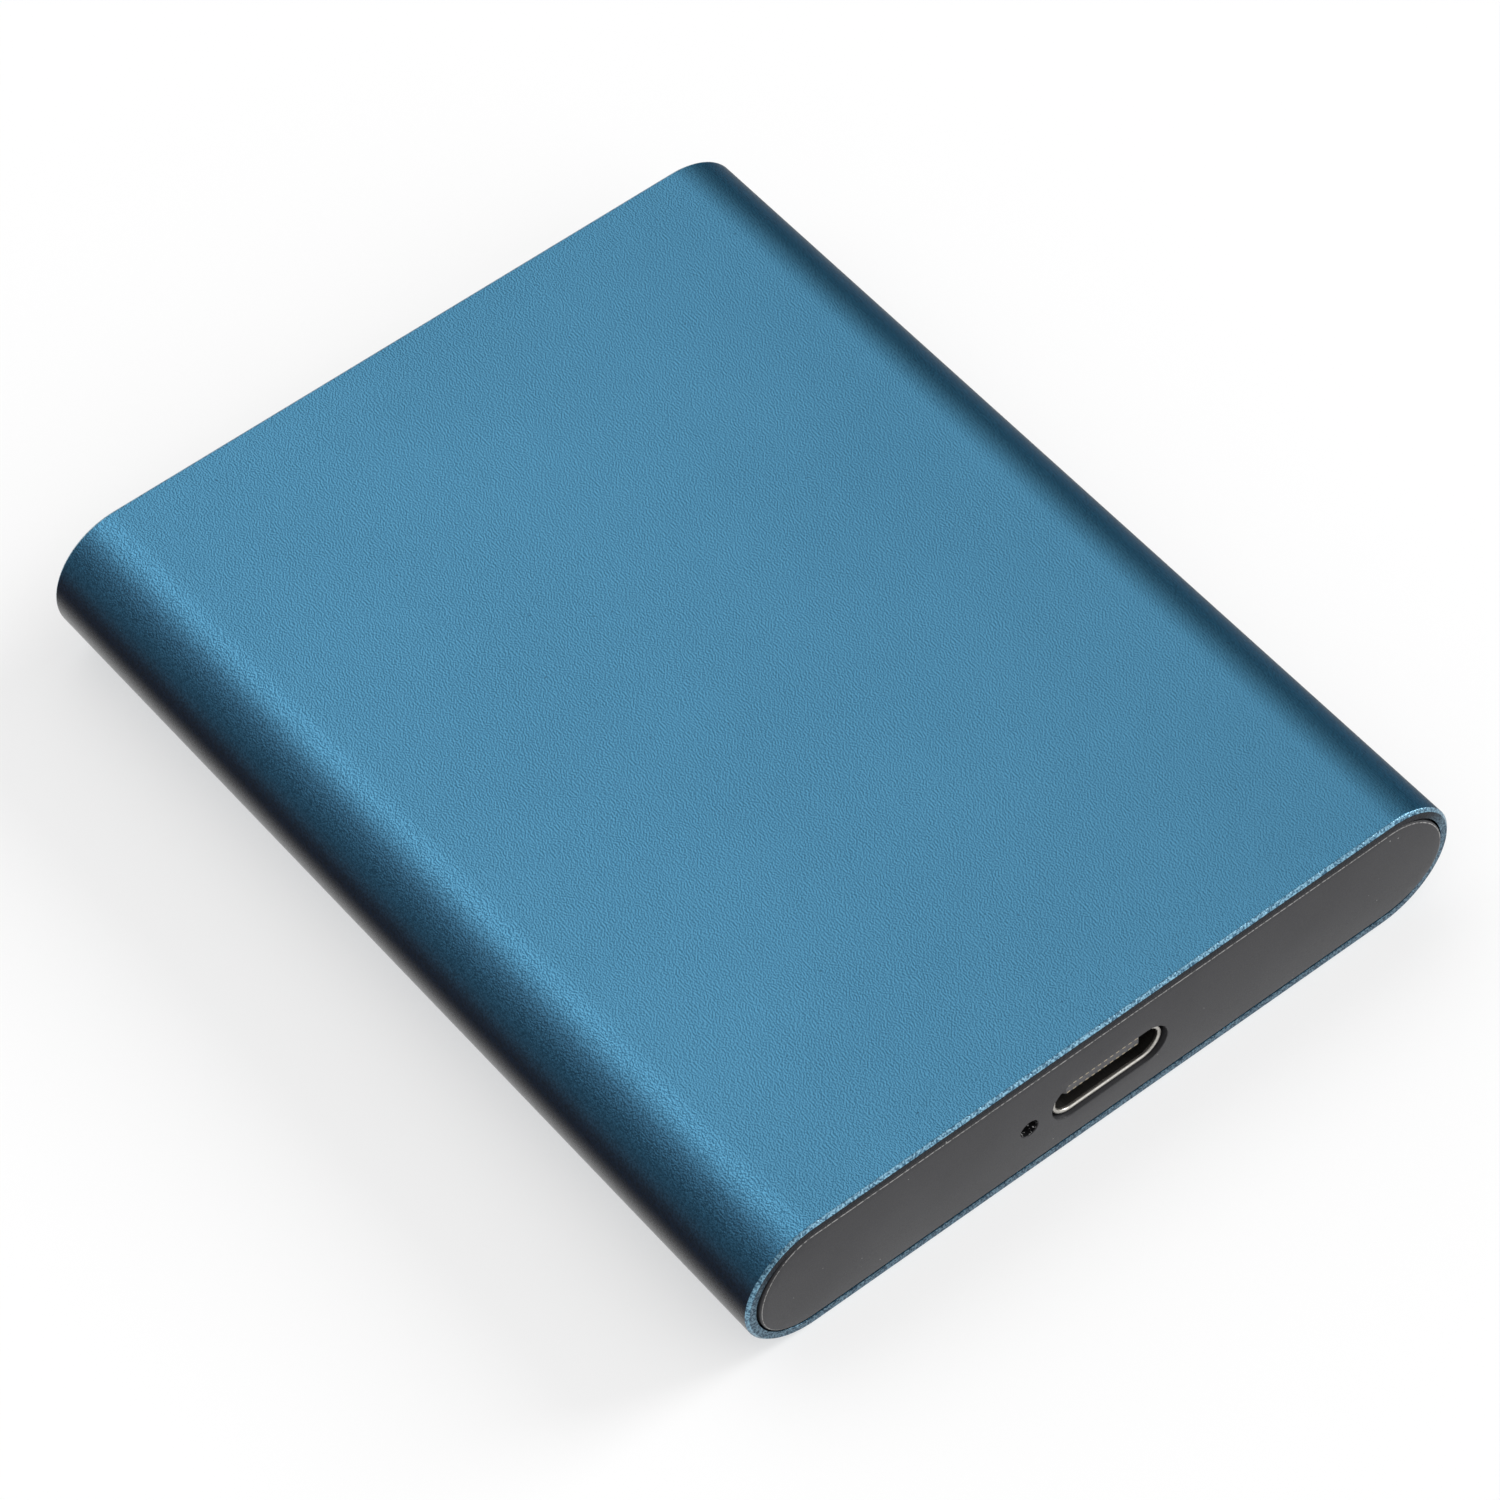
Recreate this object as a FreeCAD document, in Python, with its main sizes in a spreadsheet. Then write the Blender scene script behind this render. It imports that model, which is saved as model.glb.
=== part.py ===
import FreeCAD, Part
import math
import os
import types

import Sketcher

# Portable solid state drive in millimetres.
# X runs across the drive, Y along it with the port end at -Y, Z up from the face it lies on.

doc = FreeCAD.newDocument("portable_drive")
sheet = doc.addObject("Spreadsheet::Sheet", "sizes")

SIZES = {
    # extruded sleeve
    "body_width": 57.3,
    "body_height": 10.6,
    "sleeve_length": 72.4,
    "wall": 0.75,
    "rim_chamfer": 0.2,
    "rib_width": 1.0,
    "rib_height": 0.9,
    "screw_port_radius": 1.75,
    "screw_port_inset": 4.15,
    "screw_port_web": 1.4,
    "screw_port_slot": 0.9,
    "thread_bore_radius": 0.95,
    # end caps, their tape and the frames under them
    "cap_gap": 0.12,
    "cap_thickness": 1.0,
    "cap_crown": 0.25,
    "cap_edge_chamfer": 0.2,
    "cut_margin": 0.5,
    "tape_thickness": 0.15,
    "tape_inset": 0.8,
    "tape_margin": 0.3,
    "frame_thickness": 2.5,
    "frame_screw_hole_radius": 1.05,
    "frame_screw_seat_depth": 1.1,
    "frame_port_gap": 0.15,
    # frame screws
    "frame_screw_head_radius": 1.6,
    "frame_screw_head_height": 1.0,
    "frame_screw_radius": 0.9,
    "frame_screw_length": 6.0,
    "screw_seat_gap": 0.1,
    "recess_arm": 0.17,
    "recess_reach": 0.75,
    "recess_depth": 0.5,
    # port slot and status light hole in the front cap
    "port_gap_side": 0.23,
    "port_gap_height": 0.12,
    "led_offset": 6.55,
    "led_hole_radius": 0.7,
    # receptacle
    "shell_width": 8.94,
    "shell_height": 3.16,
    "shell_wall": 0.3,
    "shell_length": 7.35,
    "shell_recess": 0.3,
    "shell_lip_chamfer": 0.08,
    "leg_length": 0.7,
    "leg_rear": 0.6,
    "leg_pitch": 1.6,
    "leg_depth": 0.9,
    "leg_gap": 0.1,
    "insulator_fit": 0.03,
    "insulator_block": 1.6,
    "tongue_width": 6.69,
    "tongue_height": 0.7,
    "tongue_setback": 0.45,
    "tongue_corner": 0.4,
    "contact_width": 0.25,
    "contact_pitch": 0.5,
    "contact_groove": 0.1,
    "contact_proud": 0.02,
    "mid_plate_height": 0.15,
    "mid_plate_ear": 0.1,
    "mid_plate_setback": 0.6,
    "latch_depth": 0.5,
    "latch_start": 1.6,
    "latch_length": 0.9,
    # light pipe and status light
    "pipe_radius": 0.6,
    "pipe_into_cap": 0.3,
    "pipe_flange": 0.3,
    "pipe_flange_half": 0.95,
    "pipe_reach": 1.75,
    "pipe_gap": 0.05,
    "led_length": 1.6,
    "led_width": 0.8,
    "led_base": 0.35,
    "led_lens": 0.25,
    "led_lens_inset": 0.15,
    "led_gap": 0.1,
    # tray
    "tray_width": 43.0,
    "tray_floor": 1.0,
    "tray_wall": 0.8,
    "tray_gap": 0.15,
    "tray_end_gap": 0.05,
    "tray_boss_radius": 2.0,
    "tray_pilot_radius": 0.85,
    "tray_window_width": 13.0,
    "tray_window_margin": 12.5,
    "tray_window_offset": 9.0,
    "tray_rib_width": 1.2,
    # bridge board and its screws
    "board_thickness": 1.0,
    "board_side_gap": 0.2,
    "board_end_gap": 0.35,
    "board_corner": 1.0,
    "board_hole_radius": 0.95,
    "board_hole_side": 2.3,
    "board_hole_inset": 3.6,
    "board_screw_head_radius": 1.5,
    "board_screw_head_height": 0.8,
    "board_screw_radius": 0.8,
    "board_screw_length": 2.4,
    # parts on the bridge board
    "part_gap": 1.0,
    "bridge_side": 7.0,
    "bridge_height": 0.85,
    "chip_corner": 0.6,
    "firmware_length": 6.0,
    "firmware_width": 5.0,
    "firmware_height": 0.8,
    "crystal_length": 3.2,
    "crystal_width": 2.5,
    "crystal_base": 0.3,
    "crystal_lid": 0.4,
    "crystal_lid_inset": 0.15,
    "inductor_side": 4.0,
    "inductor_height": 2.0,
    "inductor_corner": 0.5,
    "inductor_x": 15.5,
    "chip_part_length": 1.6,
    "chip_part_width": 0.8,
    "capacitor_height": 0.8,
    "resistor_height": 0.45,
    "capacitor_x": 13.6,
    "capacitor_pitch": 2.4,
    "resistor_pitch": 1.5,
    # card socket
    "socket_width": 23.4,
    "socket_depth": 8.0,
    "socket_height": 4.2,
    "socket_slot": 4.0,
    "socket_fit": 0.05,
    "tail_length": 0.8,
    "tail_width": 0.22,
    "tail_height": 0.15,
    "tail_pitch": 0.5,
    # flash card
    "card_width": 22.0,
    "card_rear_room": 5.45,
    "card_thickness": 0.8,
    "card_lift": 2.3,
    "card_end_gap": 0.1,
    "card_notch_radius": 1.75,
    "card_key_width": 1.2,
    "card_key_depth": 3.5,
    "card_key_x": 6.1,
    "card_chip_height": 1.1,
    "card_chip_start": 6.0,
    "controller_side": 9.0,
    "nand_end_margin": 2.6,
    "nand_width": 16.0,
    "nand_gap": 0.7,
    "card_capacitor_x": 7.5,
    # what holds the card's far end
    "standoff_radius": 2.2,
    "standoff_shank_radius": 1.15,
    "standoff_hole_radius": 1.2,
    "card_screw_head_radius": 2.2,
    "card_screw_head_height": 0.7,
    "card_screw_radius": 0.9,
    "card_screw_length": 2.0,
    "pad_width": 15.0,
}

USB_CONTACTS_PER_ROW = 12
SOCKET_TAILS = 33
NAND_CHIPS = 2
CAPACITOR_COLUMNS = 3
RESISTORS_PER_SIDE = 4

for row, (alias, number) in enumerate(SIZES.items(), 1):
    sheet.set(f"A{row}", alias)
    sheet.set(f"B{row}", str(number))
    sheet.setAlias(f"B{row}", alias)
doc.recompute()


class Size:
    """A length that knows its value now and its formula in the sheet."""

    def __init__(self, value, formula):
        self.value = value
        self.formula = formula

    def __add__(self, other):
        return Size(self.value + value_of(other), f"({self.formula} + {formula_of(other)})")

    def __radd__(self, other):
        return self + other

    def __sub__(self, other):
        return Size(self.value - value_of(other), f"({self.formula} - {formula_of(other)})")

    def __rsub__(self, other):
        return -self + other

    def __neg__(self):
        return Size(-self.value, f"(-1 * {self.formula})")

    def __mul__(self, other):
        return Size(self.value * value_of(other), f"({self.formula} * {formula_of(other)})")

    def __rmul__(self, other):
        return self * other

    def __truediv__(self, other):
        return Size(self.value / value_of(other), f"({self.formula} / {formula_of(other)})")


def value_of(size):
    return size.value if isinstance(size, Size) else size


def formula_of(size):
    return size.formula if isinstance(size, Size) else str(size)


s = types.SimpleNamespace()
for alias in SIZES:
    setattr(s, alias, Size(sheet.get(alias), f"sizes.{alias}"))


# Sketches: every point is held from the origin by a size, or lies on an axis where it is 0.

def sketch(owner, plane, lift=None):
    planes = {feature.Role: feature for feature in owner.Origin.OriginFeatures}
    drawing = owner.newObject("Sketcher::SketchObject", f"{owner.Name}_sketch")
    drawing.AttachmentSupport = [(planes[plane], "")]
    drawing.MapMode = "FlatFace"
    if lift is not None:
        drawing.setExpression(".AttachmentOffset.Base.z", lift.formula)
    return drawing


def drive(drawing, kind, references, size):
    index = drawing.addConstraint(Sketcher.Constraint(kind, *references, size.value))
    drawing.setExpression(f"Constraints[{index}]", size.formula)


def hold(drawing, curve, point, x, y):
    for kind, axis, size in (("DistanceX", -2, x), ("DistanceY", -1, y)):
        if isinstance(size, Size):
            drive(drawing, kind, (-1, 1, curve, point), size)
        else:
            drawing.addConstraint(Sketcher.Constraint("PointOnObject", curve, point, axis))


def line(drawing, start, end):
    ends = [FreeCAD.Vector(value_of(x), value_of(y), 0) for x, y in (start, end)]
    return drawing.addGeometry(Part.LineSegment(*ends))


def arc(drawing, x, y, radius, first, last):
    centre = FreeCAD.Vector(value_of(x), value_of(y), 0)
    whole = Part.Circle(centre, FreeCAD.Vector(0, 0, 1), radius.value)
    return drawing.addGeometry(Part.ArcOfCircle(whole, first, last))


def polygon(drawing, corners):
    follow = corners[1:] + corners[:1]
    sides = [line(drawing, start, end) for start, end in zip(corners, follow)]
    for side, after in zip(sides, sides[1:] + sides[:1]):
        drawing.addConstraint(Sketcher.Constraint("Coincident", side, 2, after, 1))
    for side, (x, y) in zip(sides, corners):
        hold(drawing, side, 1, x, y)


def rectangle(drawing, width, depth, x=0, y=0):
    left, right = x - width / 2, x + width / 2
    low, high = y - depth / 2, y + depth / 2
    polygon(drawing, [(left, low), (right, low), (right, high), (left, high)])


def circle(drawing, radius, x=0, y=0):
    centre = FreeCAD.Vector(value_of(x), value_of(y), 0)
    ring = drawing.addGeometry(Part.Circle(centre, FreeCAD.Vector(0, 0, 1), radius.value))
    hold(drawing, ring, 3, x, y)
    drive(drawing, "Radius", (ring,), radius)


def stadium(drawing, width, height):
    radius = height / 2
    reach = (width - height) / 2
    quarter = math.pi / 2
    top = line(drawing, (-reach, radius), (reach, radius))
    right = arc(drawing, reach, 0, radius, -quarter, quarter)
    low = line(drawing, (reach, -radius), (-reach, -radius))
    left = arc(drawing, -reach, 0, radius, quarter, 3 * quarter)
    for joint in ((top, 2, right, 2), (right, 1, low, 1), (low, 2, left, 2), (left, 1, top, 1)):
        drawing.addConstraint(Sketcher.Constraint("Tangent", *joint))
    for end, x in ((right, reach), (left, -reach)):
        hold(drawing, end, 3, x, 0)
        drive(drawing, "Radius", (end,), radius)


# Features.

def new_body(label):
    owner = doc.addObject("PartDesign::Body", label)
    owner.Label = label
    return owner


def place(piece, x=0, y=0, z=0):
    for axis, size in zip("xyz", (x, y, z)):
        if isinstance(size, Size):
            piece.setExpression(f".Placement.Base.{axis}", size.formula)


def turn_piece(piece, axis, degrees):
    piece.Placement = FreeCAD.Placement(FreeCAD.Vector(), FreeCAD.Rotation(axis, degrees))


def pad(owner, drawing, length, both=False, back=False):
    feature = owner.newObject("PartDesign::Pad", f"{owner.Name}_pad")
    feature.Profile = drawing
    feature.setExpression("Length", length.formula)
    feature.Reversed = back
    if both:
        feature.SideType = "Symmetric"
    doc.recompute()
    return feature


def cut(owner, drawing, depth=None, both=False, back=False):
    before = owner.Shape.Volume
    feature = owner.newObject("PartDesign::Pocket", f"{owner.Name}_cut")
    feature.Profile = drawing
    feature.Reversed = back
    if depth is None:
        feature.Type = "ThroughAll"
    else:
        feature.setExpression("Length", depth.formula)
    if both or depth is None:
        feature.SideType = "Symmetric"
    doc.recompute()
    if owner.Shape.Volume > before - 1e-6:
        raise RuntimeError(f"{owner.Label}: a cut took nothing away")
    return feature


def revolve(owner, corners):
    drawing = sketch(owner, "XZ_Plane")
    polygon(drawing, corners)
    feature = owner.newObject("PartDesign::Revolution", f"{owner.Name}_turned")
    feature.Profile = drawing
    feature.ReferenceAxis = (drawing, ["V_Axis"])
    feature.Angle = 360
    doc.recompute()
    return feature


def dress(owner, kind, feature, wanted, size_name, size):
    names = [f"Edge{i}" for i, edge in enumerate(feature.Shape.Edges, 1) if wanted(edge.BoundBox)]
    dressed = owner.newObject(f"PartDesign::{kind}", f"{owner.Name}_{kind.lower()}")
    dressed.Base = (feature, names)
    dressed.setExpression(size_name, size.formula)
    doc.recompute()
    return dressed


def repeat(owner, features, *runs):
    axes = {feature.Role: feature for feature in owner.Origin.OriginFeatures}
    rows = []
    for axis, count, spacing in runs:
        row = owner.newObject("PartDesign::LinearPattern", f"{owner.Name}_row")
        row.Direction = (axes[axis], [""])
        row.Mode = "Spacing"
        row.Occurrences = count
        row.setExpression("Offset", spacing.formula)
        rows.append(row)
    grid = owner.newObject("PartDesign::MultiTransform", f"{owner.Name}_grid")
    grid.Originals = features
    grid.Transformations = rows
    owner.Tip = grid
    doc.recompute()
    return grid


def block(name, width, depth, height, x=0, y=0, z=0):
    solid = doc.addObject("Part::Box", name)
    for side, size in (("Length", width), ("Width", depth), ("Height", height)):
        solid.setExpression(side, size.formula)
    place(solid, x - width / 2, y - depth / 2, z)
    return solid


def chip(label, width, depth, height, x=0, y=0, z=0):
    owner = new_body(label)
    place(owner, x, y, z)
    drawing = sketch(owner, "XY_Plane")
    half_x, half_y = width / 2, depth / 2
    polygon(drawing, [
        (-half_x, -half_y), (half_x, -half_y), (half_x, half_y),
        (s.chip_corner - half_x, half_y), (-half_x, half_y - s.chip_corner)])
    pad(owner, drawing, height)
    return owner


def stacked(label, lower, upper):
    both = doc.addObject("Part::Fuse", label)
    both.Base = lower
    both.Tool = upper
    return both


def screw(label, head_radius, head_height, radius, length):
    owner = new_body(label)
    turned = revolve(owner, [
        (0, head_height), (head_radius, head_height), (head_radius, 0),
        (radius, 0), (radius, -length), (0, -length)])
    drawing = sketch(owner, "XY_Plane", head_height)
    arm, reach = s.recess_arm, s.recess_reach
    polygon(drawing, [
        (arm, reach), (arm, arm), (reach, arm), (reach, -arm), (arm, -arm), (arm, -reach),
        (-arm, -reach), (-arm, -arm), (-reach, -arm), (-reach, arm), (-arm, arm), (-arm, reach)])
    recess = cut(owner, drawing, s.recess_depth)
    return owner, [turned, recess]


# Heights and lengths that several pieces share.
mid_z = s.body_height / 2
end_y = s.sleeve_length / 2
bore_width = s.body_width - 2 * s.wall
bore_height = s.body_height - 2 * s.wall
plug_width = bore_width - 2 * s.cap_gap
plug_height = bore_height - 2 * s.cap_gap
core_end = end_y - s.cap_thickness - s.tape_thickness - s.frame_thickness
screw_x = s.body_width / 2 - s.screw_port_inset
tray_length = 2 * core_end - 2 * s.tray_end_gap
board_width = s.tray_width - 2 * s.tray_wall - 2 * s.board_side_gap
board_length = 2 * core_end - 2 * s.board_end_gap
board_hole_x = board_width / 2 - s.board_hole_side
board_hole_y = board_length / 2 - s.board_hole_inset
board_top = mid_z - s.shell_height / 2
board_low = board_top - s.board_thickness
ceiling = s.body_height - s.wall
port_slot_width = s.shell_width + 2 * s.port_gap_side
port_slot_height = s.shell_height + 2 * s.port_gap_height
X_AXIS = FreeCAD.Vector(1, 0, 0)
Z_AXIS = FreeCAD.Vector(0, 0, 1)


# Housing sleeve: an extruded aluminium tube with two floor ribs that guide the tray and an open
# screw port at each side. Ribs and ports are milled back at both ends for the frames and caps.
housing_sleeve = new_body("housing_sleeve")
place(housing_sleeve, z=mid_z)
drawing = sketch(housing_sleeve, "XZ_Plane")
stadium(drawing, s.body_width, s.body_height)
stadium(drawing, bore_width, bore_height)
tube = pad(housing_sleeve, drawing, s.sleeve_length, both=True)

rim_line = (bore_height / 2 + s.wall / 2).value
end_line = (end_y - s.rim_chamfer / 2).value


def on_outer_rim(box):
    at_end = box.YMin > end_line or box.YMax < -end_line
    return at_end and max(box.ZMax, -box.ZMin) > rim_line


dress(housing_sleeve, "Chamfer", tube, on_outer_rim, "Size", s.rim_chamfer)

drawing = sketch(housing_sleeve, "XZ_Plane")
rib_x = s.tray_width / 2 + s.tray_gap + s.rib_width / 2
rib_sink = s.wall / 2
rib_mid = (s.rib_height - rib_sink) / 2 - bore_height / 2
for side in (-1, 1):
    rectangle(drawing, s.rib_width, s.rib_height + rib_sink, side * rib_x, rib_mid)
    circle(drawing, s.screw_port_radius, side * screw_x)
pad(housing_sleeve, drawing, 2 * core_end, both=True)

drawing = sketch(housing_sleeve, "XZ_Plane")
web_length = s.screw_port_inset - s.wall / 2
for side in (-1, 1):
    rectangle(drawing, web_length, s.screw_port_web, side * (screw_x + web_length / 2))
pad(housing_sleeve, drawing, 2 * core_end, both=True)

drawing = sketch(housing_sleeve, "XZ_Plane")
slot_length = s.screw_port_radius + s.wall
for side in (-1, 1):
    rectangle(drawing, slot_length, s.screw_port_slot, side * (screw_x - slot_length / 2))
cut(housing_sleeve, drawing, 2 * core_end, both=True)

drawing = sketch(housing_sleeve, "XZ_Plane")
for side in (-1, 1):
    circle(drawing, s.thread_bore_radius, side * screw_x)
cut(housing_sleeve, drawing, 2 * core_end, both=True)


# End caps: thin moulded plates, slightly crowned from top to bottom so that the middle stands
# proud of the sleeve and the long edges lie level with its rim.
def end_cap(label):
    owner = new_body(label)
    drawing = sketch(owner, "XZ_Plane")
    stadium(drawing, plug_width, plug_height)
    pad(owner, drawing, s.cap_thickness + s.cap_crown)

    half = plug_height / 2
    radius = (half * half + s.cap_crown * s.cap_crown) / (2 * s.cap_crown)
    centre = radius - s.cap_thickness - s.cap_crown
    over = half + s.cut_margin
    front = -s.cap_thickness - s.cap_crown - s.cut_margin
    spread = math.asin(over.value / radius.value)
    meet = centre.value - radius.value * math.cos(spread)
    drawing = sketch(owner, "YZ_Plane")
    crown = arc(drawing, centre, 0, radius, math.pi - spread, math.pi + spread)
    upper = line(drawing, (meet, over), (front, over))
    outer = line(drawing, (front, over), (front, -over))
    lower = line(drawing, (front, -over), (meet, -over))
    for joint in ((crown, 1, upper, 1), (upper, 2, outer, 1), (outer, 2, lower, 1), (lower, 2, crown, 2)):
        drawing.addConstraint(Sketcher.Constraint("Coincident", *joint))
    for edge in (upper, lower):
        drawing.addConstraint(Sketcher.Constraint("Horizontal", edge))
    hold(drawing, crown, 3, centre, 0)
    drive(drawing, "Radius", (crown,), radius)
    hold(drawing, outer, 1, front, over)
    hold(drawing, outer, 2, front, -over)
    crowned = cut(owner, drawing)

    front_line = -(s.cap_thickness / 2).value
    dress(owner, "Chamfer", crowned, lambda box: box.YMax < front_line, "Size", s.cap_edge_chamfer)
    return owner


front_cap = end_cap("front_cap")
place(front_cap, y=s.cap_thickness - end_y, z=mid_z)
drawing = sketch(front_cap, "XZ_Plane")
stadium(drawing, port_slot_width, port_slot_height)
cut(front_cap, drawing)
drawing = sketch(front_cap, "XZ_Plane")
circle(drawing, s.led_hole_radius, -s.led_offset)
cut(front_cap, drawing)

rear_cap = end_cap("rear_cap")
turn_piece(rear_cap, Z_AXIS, 180)
place(rear_cap, y=end_y - s.cap_thickness, z=mid_z)


# Cap tape: die-cut adhesive behind each cap, cleared round the port and the light.
def cap_tape(label):
    owner = new_body(label)
    drawing = sketch(owner, "XZ_Plane")
    stadium(drawing, plug_width - 2 * s.tape_inset, plug_height - 2 * s.tape_inset)
    pad(owner, drawing, s.tape_thickness)
    return owner


tape_y = end_y - s.cap_thickness - s.tape_thickness
front_cap_tape = cap_tape("front_cap_tape")
place(front_cap_tape, y=-tape_y, z=mid_z)
drawing = sketch(front_cap_tape, "XZ_Plane")
stadium(drawing, port_slot_width + 2 * s.tape_margin, port_slot_height + 2 * s.tape_margin)
circle(drawing, s.led_hole_radius + s.tape_margin, -s.led_offset)
cut(front_cap_tape, drawing)

rear_cap_tape = cap_tape("rear_cap_tape")
turn_piece(rear_cap_tape, Z_AXIS, 180)
place(rear_cap_tape, y=tape_y, z=mid_z)


# End frames: plastic bulkheads that close the sleeve under the caps. Each is pulled onto the ends
# of the screw ports by two screws whose heads sink below its face.
def end_frame(label):
    owner = new_body(label)
    drawing = sketch(owner, "XZ_Plane")
    stadium(drawing, plug_width, plug_height)
    pad(owner, drawing, s.frame_thickness)
    drawing = sketch(owner, "XZ_Plane")
    for side in (-1, 1):
        circle(drawing, s.frame_screw_hole_radius, side * screw_x)
    cut(owner, drawing)
    drawing = sketch(owner, "XZ_Plane", s.frame_thickness)
    for side in (-1, 1):
        circle(drawing, s.frame_screw_head_radius + s.screw_seat_gap, side * screw_x)
    cut(owner, drawing, s.frame_screw_seat_depth)
    return owner


front_frame = end_frame("front_frame")
place(front_frame, y=-core_end, z=mid_z)
drawing = sketch(front_frame, "XZ_Plane")
stadium(drawing, s.shell_width + 2 * s.frame_port_gap, s.shell_height + 2 * s.frame_port_gap)
circle(drawing, s.pipe_radius + s.pipe_gap, -s.led_offset)
cut(front_frame, drawing)

rear_frame = end_frame("rear_frame")
turn_piece(rear_frame, Z_AXIS, 180)
place(rear_frame, y=core_end, z=mid_z)


# Frame screws: two at each end, through the frame into the sleeve's screw ports.
screw_seat_y = core_end + s.frame_thickness - s.frame_screw_seat_depth


def frame_screws(label, degrees, y):
    owner, features = screw(label, s.frame_screw_head_radius, s.frame_screw_head_height,
                            s.frame_screw_radius, s.frame_screw_length)
    repeat(owner, features, ("X_Axis", 2, 2 * screw_x))
    turn_piece(owner, X_AXIS, degrees)
    place(owner, -screw_x, y, mid_z)
    return owner


front_frame_screws = frame_screws("front_frame_screws", 90, -screw_seat_y)
rear_frame_screws = frame_screws("rear_frame_screws", -90, screw_seat_y)


# Board tray: a moulded sled that slides in between the sleeve's ribs. It carries the board on two
# screw bosses in front and a cross rib behind. Two windows in its floor save weight.
board_tray = new_body("board_tray")
place(board_tray, z=s.wall)
drawing = sketch(board_tray, "XY_Plane")
rectangle(drawing, s.tray_width, tray_length)
pad(board_tray, drawing, s.tray_floor)
drawing = sketch(board_tray, "XY_Plane")
for side in (-1, 1):
    rectangle(drawing, s.tray_wall, tray_length, side * (s.tray_width - s.tray_wall) / 2)
pad(board_tray, drawing, board_top - s.wall)
board_holes = [(side * board_hole_x, -board_hole_y) for side in (-1, 1)]
drawing = sketch(board_tray, "XY_Plane")
for x, y in board_holes:
    circle(drawing, s.tray_boss_radius, x, y)
rectangle(drawing, s.tray_width - s.tray_wall, s.tray_rib_width, 0, board_hole_y)
pad(board_tray, drawing, board_low - s.wall)
drawing = sketch(board_tray, "XY_Plane")
for x, y in board_holes:
    circle(drawing, s.tray_pilot_radius, x, y)
for side in (-1, 1):
    rectangle(drawing, s.tray_window_width, tray_length - 2 * s.tray_window_margin,
              side * s.tray_window_offset)
cut(board_tray, drawing)


# Bridge board: the circuit board that carries the receptacle, the bridge chip and the card socket.
shell_front = end_y + s.cap_crown - s.shell_recess
shell_rear = s.shell_length - shell_front
leg_x = (s.shell_width - s.shell_wall) / 2
leg_ys = [shell_rear - s.leg_rear, shell_rear - s.leg_rear - s.leg_pitch]
bridge_y = shell_rear + s.part_gap + s.bridge_side / 2
socket_front = bridge_y + s.bridge_side / 2 + s.part_gap + s.tail_length
card_front = socket_front + s.socket_depth - s.socket_slot + s.card_end_gap
card_end = core_end - s.card_rear_room
card_length = card_end - card_front

bridge_board = new_body("bridge_board")
place(bridge_board, z=board_low)
drawing = sketch(bridge_board, "XY_Plane")
rectangle(drawing, board_width, board_length)
slab = pad(bridge_board, drawing, s.board_thickness)
upright = (s.board_thickness / 2).value
dress(bridge_board, "Fillet", slab, lambda box: box.ZLength > upright, "Radius", s.board_corner)
drawing = sketch(bridge_board, "XY_Plane")
for x, y in board_holes:
    circle(drawing, s.board_hole_radius, x, y)
circle(drawing, s.standoff_hole_radius, 0, card_end)
for side in (-1, 1):
    for y in leg_ys:
        rectangle(drawing, s.shell_wall + 2 * s.leg_gap, s.leg_length + 2 * s.leg_gap, side * leg_x, y)
cut(bridge_board, drawing)

board_screws, features = screw("board_screws", s.board_screw_head_radius, s.board_screw_head_height,
                               s.board_screw_radius, s.board_screw_length)
repeat(board_screws, features, ("X_Axis", 2, 2 * board_hole_x))
place(board_screws, -board_hole_x, -board_hole_y, board_top)


# USB-C receptacle shell: a drawn steel tube with four legs soldered into the board.
usb_c_shell = new_body("usb_c_shell")
place(usb_c_shell, y=-shell_front, z=mid_z)
drawing = sketch(usb_c_shell, "XZ_Plane")
stadium(drawing, s.shell_width, s.shell_height)
mouth_width = s.shell_width - 2 * s.shell_wall
mouth_height = s.shell_height - 2 * s.shell_wall
stadium(drawing, mouth_width, mouth_height)
drawn = pad(usb_c_shell, drawing, s.shell_length, back=True)
lip_line = s.shell_wall.value
outer_line = (mouth_height / 2 + s.shell_wall / 2).value


def on_lip(box):
    return box.YMax < lip_line and max(box.ZMax, -box.ZMin) > outer_line


dress(usb_c_shell, "Chamfer", drawn, on_lip, "Size", s.shell_lip_chamfer)
drawing = sketch(usb_c_shell, "XY_Plane")
for side in (-1, 1):
    for y in leg_ys:
        rectangle(drawing, s.shell_wall, s.leg_length, side * leg_x, y + shell_front)
pad(usb_c_shell, drawing, s.shell_height / 2 + s.leg_depth, back=True)


# Receptacle insulator: a moulded block that fills the shell's rear, with the tongue that enters the
# plug. Grooves on both faces of the tongue hold the contacts, a slot between them the latch plate.
tongue_root = s.shell_length - s.insulator_block
first_contact = -s.contact_pitch * (USB_CONTACTS_PER_ROW - 1) / 2
contact_tip = s.tongue_setback
contact_length = tongue_root - contact_tip
contact_mid = (tongue_root + contact_tip) / 2
plate_length = tongue_root - s.mid_plate_setback - s.tongue_setback
plate_mid = tongue_root - plate_length / 2

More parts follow.
